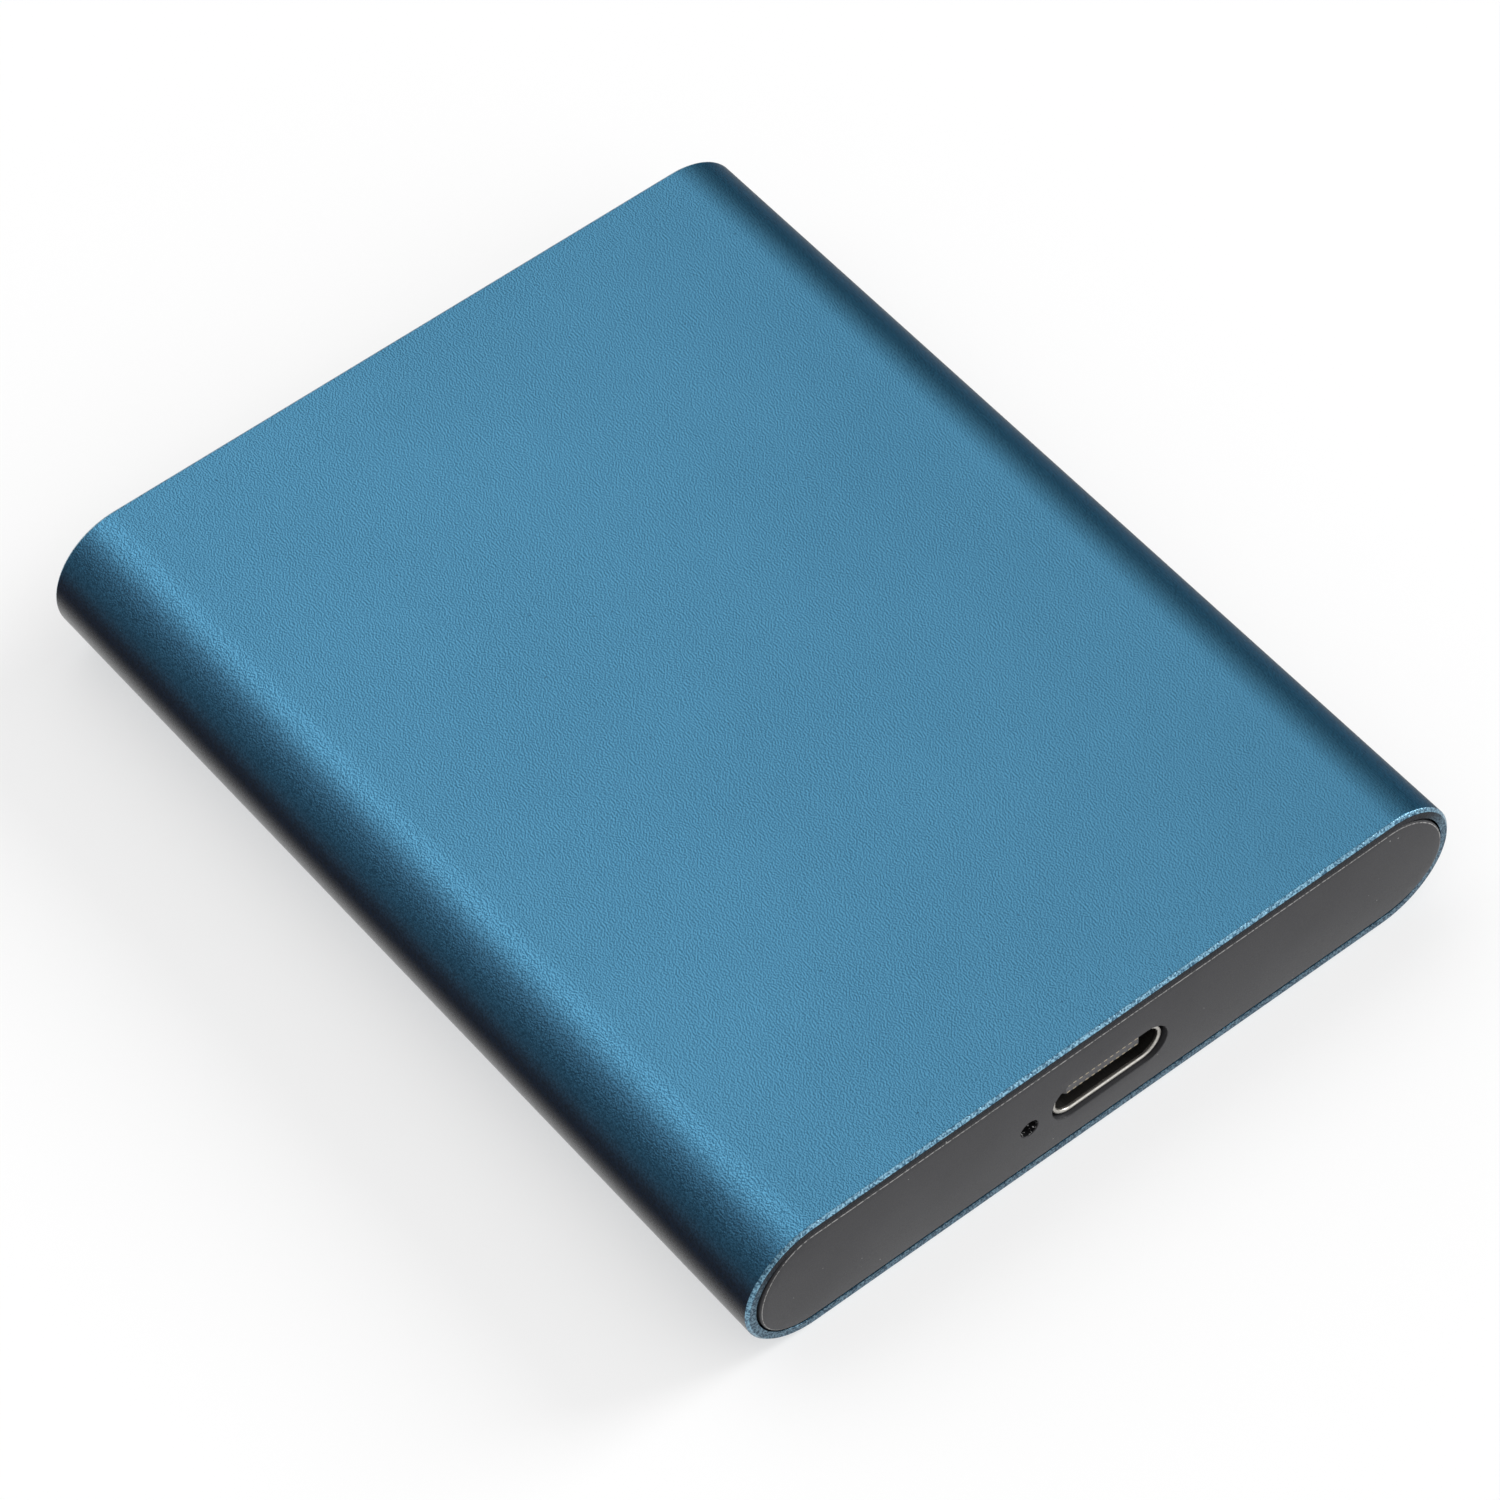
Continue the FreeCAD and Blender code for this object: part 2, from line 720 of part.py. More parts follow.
usb_c_insulator = new_body("usb_c_insulator")
place(usb_c_insulator, y=-shell_front, z=mid_z)
drawing = sketch(usb_c_insulator, "XZ_Plane", -s.shell_length)
stadium(drawing, mouth_width - 2 * s.insulator_fit, mouth_height - 2 * s.insulator_fit)
pad(usb_c_insulator, drawing, s.insulator_block)
drawing = sketch(usb_c_insulator, "XY_Plane")
side_x = s.tongue_width / 2
tip_x = side_x - s.tongue_corner
tip_y = s.tongue_setback
root_y = tongue_root + s.insulator_block / 2
polygon(drawing, [(-tip_x, tip_y), (tip_x, tip_y), (side_x, tip_y + s.tongue_corner), (side_x, root_y),
                  (-side_x, root_y), (-side_x, tip_y + s.tongue_corner)])
pad(usb_c_insulator, drawing, s.tongue_height, both=True)
drawing = sketch(usb_c_insulator, "XY_Plane")
rectangle(drawing, 2 * s.tongue_width, plate_length, 0, plate_mid)
cut(usb_c_insulator, drawing, s.mid_plate_height, both=True)
drawing = sketch(usb_c_insulator, "XY_Plane", s.contact_groove - s.tongue_height / 2)
rectangle(drawing, s.contact_width, contact_length, first_contact, contact_mid)
groove = cut(usb_c_insulator, drawing, s.contact_groove)
repeat(usb_c_insulator, [groove], ("X_Axis", USB_CONTACTS_PER_ROW, s.contact_pitch),
       ("Z_Axis", 2, s.tongue_height - s.contact_groove))

contact_height = s.contact_groove + s.contact_proud
usb_c_contacts = new_body("usb_c_contacts")
place(usb_c_contacts, y=-shell_front, z=mid_z)
drawing = sketch(usb_c_contacts, "XY_Plane", -s.tongue_height / 2 - s.contact_proud)
rectangle(drawing, s.contact_width, contact_length, first_contact, contact_mid)
contact = pad(usb_c_contacts, drawing, contact_height)
repeat(usb_c_contacts, [contact], ("X_Axis", USB_CONTACTS_PER_ROW, s.contact_pitch),
       ("Z_Axis", 2, s.tongue_height - 2 * s.contact_groove + contact_height))

usb_c_mid_plate = new_body("usb_c_mid_plate")
place(usb_c_mid_plate, y=-shell_front, z=mid_z)
drawing = sketch(usb_c_mid_plate, "XY_Plane")
ear_x = side_x + s.mid_plate_ear
waist_x = ear_x - s.latch_depth
plate_front = tongue_root - plate_length
latch_front = plate_front + s.latch_start
latch_back = latch_front + s.latch_length
right_side = [(ear_x, plate_front), (ear_x, latch_front), (waist_x, latch_front),
              (waist_x, latch_back), (ear_x, latch_back), (ear_x, tongue_root)]
left_side = [(-x, y) for x, y in reversed(right_side)]
polygon(drawing, right_side + left_side)
pad(usb_c_mid_plate, drawing, s.mid_plate_height, both=True)


# Status light and the clear right-angle pipe that brings it to the hole in the front cap.
light_pipe = new_body("light_pipe")
place(light_pipe, -s.led_offset, -core_end, mid_z)
drawing = sketch(light_pipe, "YZ_Plane")
bar = s.pipe_radius
knee = s.pipe_reach - 2 * bar
foot = s.shell_height / 2 - s.led_base - s.led_lens - s.led_gap
flange = s.pipe_flange_half
polygon(drawing, [
    (0, flange), (0, -flange), (s.pipe_flange, -flange), (s.pipe_flange, -bar), (knee, -bar),
    (knee, -foot), (s.pipe_reach, -foot), (s.pipe_reach, -bar), (knee, bar),
    (s.pipe_flange, bar), (s.pipe_flange, flange)])
pad(light_pipe, drawing, 2 * bar, both=True)
drawing = sketch(light_pipe, "XZ_Plane")
circle(drawing, s.pipe_radius)
pad(light_pipe, drawing, s.frame_thickness + s.tape_thickness + s.pipe_into_cap)

led_y = s.pipe_reach - bar - core_end
led_base = block("status_led_base", s.led_length, s.led_width, s.led_base, -s.led_offset, led_y, board_top)
led_lens = block("status_led_lens", s.led_length - 2 * s.led_lens_inset, s.led_width - 2 * s.led_lens_inset,
                 s.led_lens, -s.led_offset, led_y, board_top + s.led_base)
status_led = stacked("status_led", led_base, led_lens)


# Parts soldered on the bridge board.
bridge_chip = chip("bridge_chip", s.bridge_side, s.bridge_side, s.bridge_height, 0, bridge_y, board_top)
firmware_x = -s.bridge_side / 2 - s.part_gap - s.firmware_width / 2
firmware_chip = chip("firmware_chip", s.firmware_width, s.firmware_length, s.firmware_height,
                     firmware_x, bridge_y, board_top)
crystal_x = s.bridge_side / 2 + s.part_gap + s.crystal_length / 2
crystal_base = block("crystal_base", s.crystal_length, s.crystal_width, s.crystal_base,
                     crystal_x, bridge_y, board_top)
crystal_lid = block("crystal_lid", s.crystal_length - 2 * s.crystal_lid_inset,
                    s.crystal_width - 2 * s.crystal_lid_inset, s.crystal_lid,
                    crystal_x, bridge_y, board_top + s.crystal_base)
crystal = stacked("crystal", crystal_base, crystal_lid)

inductors = new_body("inductors")
place(inductors, -s.inductor_x, bridge_y, board_top)
drawing = sketch(inductors, "XY_Plane")
bevel = s.inductor_side / 2 - s.inductor_corner
side_half = s.inductor_side / 2
polygon(drawing, [
    (bevel, -side_half), (side_half, -bevel), (side_half, bevel), (bevel, side_half),
    (-bevel, side_half), (-side_half, bevel), (-side_half, -bevel), (-bevel, -side_half)])
coil = pad(inductors, drawing, s.inductor_height)
repeat(inductors, [coil], ("X_Axis", 2, 2 * s.inductor_x))


def chip_parts(label, height, x, y, z, first, second):
    owner = new_body(label)
    place(owner, x, y, z)
    drawing = sketch(owner, "XY_Plane")
    rectangle(drawing, s.chip_part_length, s.chip_part_width)
    part = pad(owner, drawing, height)
    repeat(owner, [part], first, second)
    return owner


capacitor_y = socket_front + s.part_gap
bridge_capacitors = chip_parts(
    "bridge_capacitors", s.capacitor_height, -s.capacitor_x, capacitor_y, board_top,
    ("X_Axis", 2, 2 * s.capacitor_x), ("Y_Axis", CAPACITOR_COLUMNS, s.capacitor_pitch))
resistor_y = capacitor_y + CAPACITOR_COLUMNS * s.capacitor_pitch
bridge_resistors = chip_parts(
    "bridge_resistors", s.resistor_height, -s.capacitor_x, resistor_y, board_top,
    ("X_Axis", 2, 2 * s.capacitor_x), ("Y_Axis", RESISTORS_PER_SIDE, s.resistor_pitch))


# Card socket: a moulded bar with a slot that grips the card's edge, and its row of solder tails.
slot_low = s.card_lift - s.socket_fit
slot_high = s.card_lift + s.card_thickness + s.socket_fit
slot_end = s.socket_depth - s.socket_slot
m2_socket = new_body("m2_socket")
place(m2_socket, y=socket_front, z=board_top)
drawing = sketch(m2_socket, "YZ_Plane")
polygon(drawing, [
    (0, 0), (s.socket_depth, 0), (s.socket_depth, slot_low), (slot_end, slot_low),
    (slot_end, slot_high), (s.socket_depth, slot_high), (s.socket_depth, s.socket_height),
    (0, s.socket_height)])
pad(m2_socket, drawing, s.socket_width, both=True)

m2_socket_contacts = new_body("m2_socket_contacts")
first_tail = -s.tail_pitch * (SOCKET_TAILS - 1) / 2
place(m2_socket_contacts, first_tail, socket_front - s.tail_length / 2, board_top)
drawing = sketch(m2_socket_contacts, "XY_Plane")
rectangle(drawing, s.tail_width, s.tail_length)
tail = pad(m2_socket_contacts, drawing, s.tail_height)
repeat(m2_socket_contacts, [tail], ("X_Axis", SOCKET_TAILS, s.tail_pitch))


# Flash card: the module's board with two key notches in its edge and a half-round screw notch.
card_low = board_top + s.card_lift
card_top = card_low + s.card_thickness
ssd_board = new_body("ssd_board")
place(ssd_board, y=card_front, z=card_low)
drawing = sketch(ssd_board, "XY_Plane")
rectangle(drawing, s.card_width, card_length, 0, card_length / 2)
pad(ssd_board, drawing, s.card_thickness)
drawing = sketch(ssd_board, "XY_Plane")
circle(drawing, s.card_notch_radius, 0, card_length)
for side in (-1, 1):
    rectangle(drawing, s.card_key_width, 2 * s.card_key_depth, side * s.card_key_x)
cut(ssd_board, drawing)

controller_y = card_front + s.card_chip_start + s.controller_side / 2
ssd_controller = chip("ssd_controller", s.controller_side, s.controller_side, s.card_chip_height,
                      0, controller_y, card_top)
nand_start = controller_y + s.controller_side / 2 + s.nand_gap
nand_room = card_end - s.nand_end_margin - nand_start
nand_length = (nand_room - (NAND_CHIPS - 1) * s.nand_gap) / NAND_CHIPS
nand_pitch = nand_length + s.nand_gap
nand_y = nand_start + nand_length / 2
nand_chips = new_body("nand_chips")
place(nand_chips, y=nand_y, z=card_top)
drawing = sketch(nand_chips, "XY_Plane")
rectangle(drawing, s.nand_width, nand_length)
memory = pad(nand_chips, drawing, s.card_chip_height)
repeat(nand_chips, [memory], ("Y_Axis", NAND_CHIPS, nand_pitch))
ssd_capacitors = chip_parts(
    "ssd_capacitors", s.capacitor_height, -s.card_capacitor_x, controller_y - s.capacitor_pitch, card_top,
    ("X_Axis", 2, 2 * s.card_capacitor_x), ("Y_Axis", CAPACITOR_COLUMNS, s.capacitor_pitch))


# The card's far end lies on a standoff soldered in the board and is held down by one screw.
ssd_standoff = new_body("ssd_standoff")
place(ssd_standoff, y=card_end, z=board_top)
shank = s.board_thickness
revolve(ssd_standoff, [
    (s.thread_bore_radius, -shank), (s.standoff_shank_radius, -shank), (s.standoff_shank_radius, 0),
    (s.standoff_radius, 0), (s.standoff_radius, s.card_lift), (s.thread_bore_radius, s.card_lift)])
ssd_screw, features = screw("ssd_screw", s.card_screw_head_radius, s.card_screw_head_height,
                            s.card_screw_radius, s.card_screw_length + s.card_thickness)
place(ssd_screw, y=card_end, z=card_top)


# Thermal pad: soft silicone between the card's chips and the sleeve's roof.
pad_front = controller_y - s.controller_side / 2
pad_back = card_end - s.nand_end_margin
chip_top = card_top + s.card_chip_height
thermal_pad = block("thermal_pad", s.pad_width, pad_back - pad_front, ceiling - chip_top,
                    0, (pad_front + pad_back) / 2, chip_top)


NODES = [
    housing_sleeve, front_cap, rear_cap, front_cap_tape, rear_cap_tape, front_frame, rear_frame,
    front_frame_screws, rear_frame_screws, board_tray, bridge_board, board_screws,
    usb_c_shell, usb_c_insulator, usb_c_contacts, usb_c_mid_plate, light_pipe, status_led,
    bridge_chip, firmware_chip, crystal, inductors, bridge_capacitors, bridge_resistors,
    m2_socket, m2_socket_contacts, ssd_board, ssd_controller, nand_chips, ssd_capacitors,
    ssd_standoff, ssd_screw, thermal_pad,
]

doc.recompute()
for item in doc.Objects:
    if "Invalid" in item.State or "Error" in item.State:
        raise RuntimeError(f"{item.Label}: {item.State}")
os.makedirs("parts", exist_ok=True)
for node in NODES:
    if node.Shape.isNull() or not node.Shape.isValid():
        raise RuntimeError(f"{node.Label}: no valid shape")
    node.Shape.exportStep(f"parts/{node.Label}.step")
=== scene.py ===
import math

import bmesh
import bpy
from mathutils import Matrix, Vector
from mathutils.geometry import delaunay_2d_cdt


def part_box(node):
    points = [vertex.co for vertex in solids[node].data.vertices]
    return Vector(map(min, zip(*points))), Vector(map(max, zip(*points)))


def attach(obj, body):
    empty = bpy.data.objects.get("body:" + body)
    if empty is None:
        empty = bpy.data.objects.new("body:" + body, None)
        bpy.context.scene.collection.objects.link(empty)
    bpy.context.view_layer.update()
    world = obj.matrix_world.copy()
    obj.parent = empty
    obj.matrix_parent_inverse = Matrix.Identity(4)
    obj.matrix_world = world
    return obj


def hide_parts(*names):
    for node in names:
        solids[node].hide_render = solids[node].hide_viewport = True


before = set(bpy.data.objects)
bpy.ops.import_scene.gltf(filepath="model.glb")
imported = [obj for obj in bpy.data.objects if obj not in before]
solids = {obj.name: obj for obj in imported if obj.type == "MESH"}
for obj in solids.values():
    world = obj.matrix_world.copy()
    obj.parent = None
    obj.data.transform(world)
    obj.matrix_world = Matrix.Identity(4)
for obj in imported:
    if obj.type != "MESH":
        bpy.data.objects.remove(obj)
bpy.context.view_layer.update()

MM = 0.001


# Housing sleeve: a flat-oval aluminium tube, extruded with its tray ribs and screw ports inside,
# bead blasted all over and dyed blue in the anodising bath. Its rim is cut, and pale flecks on it are
# painted glints.
sleeve_low, sleeve_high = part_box("housing_sleeve")
mid_z = (sleeve_low.z + sleeve_high.z) / 2
end_y = sleeve_high.y
round_radius = (sleeve_high.z - sleeve_low.z) / 2
round_reach = sleeve_high.x - round_radius
wall = 0.75 * MM
bore_radius = round_radius - wall
core_end = -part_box("front_frame")[1].y
rib_left, rib_right, rib_height = 21.65 * MM, 22.65 * MM, 0.9 * MM
frame_screw_head = 1.6 * MM
port_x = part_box("front_frame_screws")[1].x - frame_screw_head
port_outer, port_bore, port_web, port_slot = 1.75 * MM, 0.95 * MM, 0.7 * MM, 0.45 * MM


def spread(first, last, steps):
    return [first + (last - first) * i / steps for i in range(steps + 1)]


def slot_outline(reach, flat_xs, turn):
    """Round a slot shape from the floor's left end: each point's centre on X and its way outward."""
    floor = [(x, 0.0, -1.0) for x in flat_xs]
    right = [(reach, math.cos(a), math.sin(a)) for a in turn]
    roof = [(x, 0.0, 1.0) for x in reversed(flat_xs)]
    left = [(-reach, -math.cos(a), -math.sin(a)) for a in turn]
    return floor + right + roof + left


class Shell:
    """Points and faces of a piece that is built up ring by ring."""

    def __init__(self):
        self.points = []
        self.faces = []
        self.finish = []

    def add_points(self, points):
        start = len(self.points)
        self.points.extend(points)
        return list(range(start, len(self.points)))

    def ring(self, outline, radius, y, z=mid_z):
        return self.add_points([(cx + radius * dx, y, z + radius * dz) for cx, dx, dz in outline])

    def bridge(self, first, second, finish=0):
        for i in range(len(first)):
            j = (i + 1) % len(first)
            self.add_face((first[i], first[j], second[j], second[i]), finish)

    def add_face(self, corners, finish=0):
        self.faces.append(corners)
        self.finish.append(finish)

    def make(self, name, materials, sharp=35):
        mesh = bpy.data.meshes.new(name)
        mesh.from_pydata(self.points, [], self.faces)
        for material in materials:
            mesh.materials.append(material)
        mesh.polygons.foreach_set("material_index", self.finish)
        form = bmesh.new()
        form.from_mesh(mesh)
        bmesh.ops.remove_doubles(form, verts=form.verts, dist=1e-8)
        bmesh.ops.recalc_face_normals(form, faces=form.faces)
        form.to_mesh(mesh)
        form.free()
        mesh.shade_smooth()
        mesh.set_sharp_from_angle(angle=math.radians(sharp))
        piece = bpy.data.objects.new(name, mesh)
        bpy.context.scene.collection.objects.link(piece)
        return piece


def add(tree, kind, settings=None, **inputs):
    node = tree.nodes.new(kind)
    for key, value in (settings or {}).items():
        setattr(node, key, value)
    for key, value in inputs.items():
        socket = node.inputs[int(key[1:])] if key[1:].isdigit() else node.inputs[key.replace("_", " ")]
        if isinstance(value, bpy.types.NodeSocket):
            tree.links.new(value, socket)
        else:
            socket.default_value = value
    return node


def math_node(tree, operation, a, b=0.0):
    return add(tree, "ShaderNodeMath", {"operation": operation}, i0=a, i1=b).outputs[0]


def ramp(tree, value, low, high, to_low=0.0, to_high=1.0):
    node = add(tree, "ShaderNodeMapRange", {"interpolation_type": "SMOOTHSTEP"}, Value=value)
    for key, number in (("From Min", low), ("From Max", high), ("To Min", to_low), ("To Max", to_high)):
        node.inputs[key].default_value = number
    return node.outputs[0]


def mix_colour(tree, factor, first, second):
    node = add(tree, "ShaderNodeMix", {"data_type": "RGBA"})
    for socket, value in ((node.inputs[0], factor), (node.inputs[6], first), (node.inputs[7], second)):
        if isinstance(value, bpy.types.NodeSocket):
            tree.links.new(value, socket)
        else:
            socket.default_value = value if isinstance(value, float) else (*value, 1.0)
    return node.outputs[2]


def new_group(name, inputs, outputs):
    group = bpy.data.node_groups.new(name, "ShaderNodeTree")
    for label, default in inputs:
        socket = group.interface.new_socket(label, in_out="INPUT", socket_type="NodeSocketFloat")
        socket.default_value = default
    for label in outputs:
        group.interface.new_socket(label, in_out="OUTPUT", socket_type="NodeSocketFloat")
    return group, group.nodes.new("NodeGroupInput"), group.nodes.new("NodeGroupOutput")


def place_group(tree, group, **values):
    node = tree.nodes.new("ShaderNodeGroup")
    node.node_tree = group
    for key, value in values.items():
        node.inputs[key.replace("_", " ")].default_value = value
    return node.outputs


def new_material(name, **settings):
    material = bpy.data.materials.new(name)
    material.use_nodes = True
    shader = material.node_tree.nodes["Principled BSDF"]
    for key, value in settings.items():
        shader.inputs[key.replace("_", " ")].default_value = value
    return material, material.node_tree, shader


def bump(tree, shader, height, distance):
    node = add(tree, "ShaderNodeBump", Height=height, Distance=distance, Strength=1.0)
    tree.links.new(node.outputs[0], shader.inputs["Normal"])


# The blast leaves overlapping dimples and here and there a dark pinprick where the dye bath caught
# a deeper pit. Their tone is painted shade: one flank of each dimple is painted paler than the other,
# as if lit from one side. A flank's tone is the drop to a point beside it.
painted_light_step = (0.045 * MM, -0.01 * MM, 0.0)
blast_grain_and_painted_relief, given, out = new_group("blast_grain_and_painted_relief", [("Per metre", 8200.0)], ["Height", "Tone", "Pits"])
place_on = add(blast_grain_and_painted_relief, "ShaderNodeTexCoord").outputs["Object"]
stretched = add(blast_grain_and_painted_relief, "ShaderNodeMapping", Vector=place_on)
stretched.inputs["Scale"].default_value = (1.0, 0.88, 1.0)
along = stretched.outputs[0]
beside = add(blast_grain_and_painted_relief, "ShaderNodeVectorMath", {"operation": "ADD"}, i0=along, i1=painted_light_step)
height, flank = [
    add(blast_grain_and_painted_relief, "ShaderNodeTexNoise", Vector=place, Scale=given.outputs[0], Detail=1.0).outputs[0]
    for place in (along, beside.outputs[0])]
painted_flank_shade = ramp(blast_grain_and_painted_relief, math_node(blast_grain_and_painted_relief, "SUBTRACT", height, flank), -0.15, 0.15)
clouds = add(blast_grain_and_painted_relief, "ShaderNodeTexNoise", Vector=place_on, Scale=70.0, Detail=3.0)
tone = math_node(blast_grain_and_painted_relief, "ADD", math_node(blast_grain_and_painted_relief, "MULTIPLY", painted_flank_shade, 0.85),
                 math_node(blast_grain_and_painted_relief, "MULTIPLY", clouds.outputs[0], 0.15))
pits = add(blast_grain_and_painted_relief, "ShaderNodeTexVoronoi", Vector=place_on,
           Scale=math_node(blast_grain_and_painted_relief, "MULTIPLY", given.outputs[0], 0.11))
lot = add(blast_grain_and_painted_relief, "ShaderNodeSeparateColor", i0=pits.outputs["Color"]).outputs[0]
chosen = ramp(blast_grain_and_painted_relief, lot, 0.76, 0.78)
spot = ramp(blast_grain_and_painted_relief, pits.outputs["Distance"], 0.075, 0.04)
pit_mask = math_node(blast_grain_and_painted_relief, "MULTIPLY", spot, chosen)
for socket, value in zip(out.inputs, (height, tone, pit_mask)):
    blast_grain_and_painted_relief.links.new(value, socket)

# The blue is written in three depths, fitted to the photo: the flat faces, then painted shade on the
# shoulder of each round side, deeper still on its middle. Below the middle the skin is rubbed glossier.
blue_dark, blue_light, blue_pit = (0.024, 0.11, 0.193), (0.106, 0.341, 0.538), (0.02, 0.08, 0.14)
shoulder_shade_dark, shoulder_shade_light = (0.015, 0.061, 0.109), (0.039, 0.135, 0.231)
side_shade_dark, side_shade_light = (0.005, 0.01, 0.018), (0.009, 0.018, 0.034)
sleeve_blue, tree, shader = new_material(
    "blue_anodised_blasted_painted_shade", Metallic=1.0, Specular_Tint=(0.35, 0.35, 0.35, 1.0),
    Coat_Roughness=0.3, Coat_IOR=1.6)
grain = place_group(tree, blast_grain_and_painted_relief, Per_metre=8200.0)
# Painted shade: the grain's Tone paints one flank of each dimple paler than the other.
blue = mix_colour(tree, grain["Tone"], blue_dark, blue_light)
place_on = add(tree, "ShaderNodeSeparateXYZ", Vector=add(tree, "ShaderNodeTexCoord").outputs["Object"])
outwards = math_node(tree, "ABSOLUTE", place_on.outputs[0])
# Painted shade: the round sides are painted darker, on the shoulder and more on the middle, as they turn from
# the light.
painted_shoulder_shade = ramp(tree, outwards, round_reach + 0.9 * MM, round_reach + 3.0 * MM)
painted_side_shade = ramp(tree, outwards, round_reach + 3.8 * MM, round_reach + 5.0 * MM)
blue = mix_colour(tree, painted_shoulder_shade, blue, mix_colour(tree, grain["Tone"], shoulder_shade_dark, shoulder_shade_light))
blue = mix_colour(tree, painted_side_shade, blue, mix_colour(tree, grain["Tone"], side_shade_dark, side_shade_light))
tree.links.new(mix_colour(tree, grain["Pits"], blue, blue_pit), shader.inputs["Base Color"])
tree.links.new(ramp(tree, grain["Tone"], 0.2, 0.8, 0.36, 0.3), shader.inputs["Roughness"])
rubbed_gloss = ramp(tree, place_on.outputs[2], mid_z + 1.6 * MM, mid_z - 0.6 * MM, 0.12, 1.0)
tree.links.new(rubbed_gloss, shader.inputs["Coat Weight"])
bump(tree, shader, grain["Height"], 0.00003)

rim_blue, tree, shader = new_material(
    "blue_anodised_cut_rim_painted_glints", Metallic=1.0, Coat_Weight=0.2, Coat_Roughness=0.25, Coat_IOR=1.6)
grain = place_group(tree, blast_grain_and_painted_relief, Per_metre=7400.0)
# Painted glints: the cut rim is flecked pale where its blasted facets would catch the light.
painted_rim_glints = ramp(tree, grain["Height"], 0.32, 0.68)
tree.links.new(mix_colour(tree, painted_rim_glints, (0.03, 0.09, 0.15), (0.2, 0.385, 0.51)), shader.inputs["Base Color"])
tree.links.new(ramp(tree, grain["Tone"], 0.2, 0.8, 0.34, 0.27), shader.inputs["Roughness"])
bump(tree, shader, grain["Height"], 0.000045)

end_blue, tree, shader = new_material("blue_anodised_sawn_end", Metallic=1.0)
grain = place_group(tree, blast_grain_and_painted_relief, Per_metre=7400.0)
flecks_and_painted_highlight = mix_colour(tree, ramp(tree, grain["Height"], 0.3, 0.7), (0.018, 0.045, 0.078), (0.16, 0.265, 0.34))
place_on = add(tree, "ShaderNodeSeparateXYZ", Vector=add(tree, "ShaderNodeTexCoord").outputs["Object"])
# Painted shade: the sawn end face is painted nearly black towards its top.
painted_shade_above = ramp(tree, place_on.outputs[2], mid_z + 1.0 * MM, mid_z + 4.0 * MM)
tree.links.new(mix_colour(tree, painted_shade_above, flecks_and_painted_highlight, (0.004, 0.006, 0.011)), shader.inputs["Base Color"])
tree.links.new(ramp(tree, grain["Tone"], 0.2, 0.8, 0.5, 0.4), shader.inputs["Roughness"])
bump(tree, shader, grain["Height"], 0.00001)

web_angle = math.asin(port_web / bore_radius)
quarter = math.pi / 2
port_first, port_last = 22, 26
turn = (spread(-quarter, -web_angle, port_first)
        + spread(-web_angle, web_angle, port_last - port_first)[1:]
        + spread(web_angle, quarter, port_first)[1:])
flat_half = [0.0, 5.0 * MM, 12.0 * MM, 18.0 * MM, rib_left, rib_right, round_reach - 0.25 * MM]
flat_xs = [-x for x in reversed(flat_half[1:])] + flat_half
sleeve_outline = slot_outline(round_reach, flat_xs, turn)
rib_at = {-rib_right, rib_left}

# From the outer skin over the bright chamfer and the end face into the bore, in inset and depth (mm).
# BAND_FINISH gives the material of each band between two steps: 1 the cut rim, 2 the sawn end.
rim_steps = [(0.0, 0.34), (0.0, 0.23), (0.0053, 0.2022), (0.0212, 0.1788), (0.1788, 0.0212),
             (0.2022, 0.0053), (0.23, 0.0), (0.3, 0.0), (0.66, 0.0), (0.70, 0.0), (0.735, 0.015),
             (0.75, 0.05), (0.75, 0.15)]
BAND_FINISH = {1: 1, 2: 1, 3: 1, 4: 1, 5: 2, 6: 2, 7: 2, 8: 2, 9: 2, 10: 2}


def port_contour(side):
    """The open screw port in section, from its web's lower edge round the bore to the upper edge."""
    web_turn = math.asin(port_web / port_outer)
    lip_outer = math.pi - math.asin(port_slot / port_outer)
    lip_inner = math.pi - math.asin(port_slot / port_bore)
    swings = ([(port_outer, -a) for a in spread(web_turn, lip_outer, 14)]
              + [(port_bore, a) for a in spread(-lip_inner, lip_inner, 28)]
              + [(port_outer, a) for a in spread(lip_outer, web_turn, 14)])
    return [(side * (port_x + r * math.cos(a)), r * math.sin(a)) for r, a in swings]


def ribbed_loop(shell, bore, y):
    """The bore's loop at y with the ribs and screw ports stepping in from it, and their end faces."""
    flats = len(flat_xs)
    arc = len(turn)
    loop = []
    i = 0
    while i < len(bore):
        loop.append(bore[i])
        contour, skip = None, 1
        if i < flats and flat_xs[i] in rib_at:
            top = rib_height - bore_radius
            contour = [(flat_xs[i], top), (flat_xs[i + 1], top)]
        elif i == flats + port_first:
            contour, skip = port_contour(1), port_last - port_first
        elif i == 2 * flats + arc + port_first:
            contour, skip = list(reversed(port_contour(-1))), port_last - port_first
        if contour:
            inner = shell.add_points([(x, y, mid_z + z) for x, z in contour])
            shell.add_face([bore[i]] + inner + [bore[i + k] for k in range(skip, 0, -1)])
            loop.extend(inner)
        i += skip
    return loop


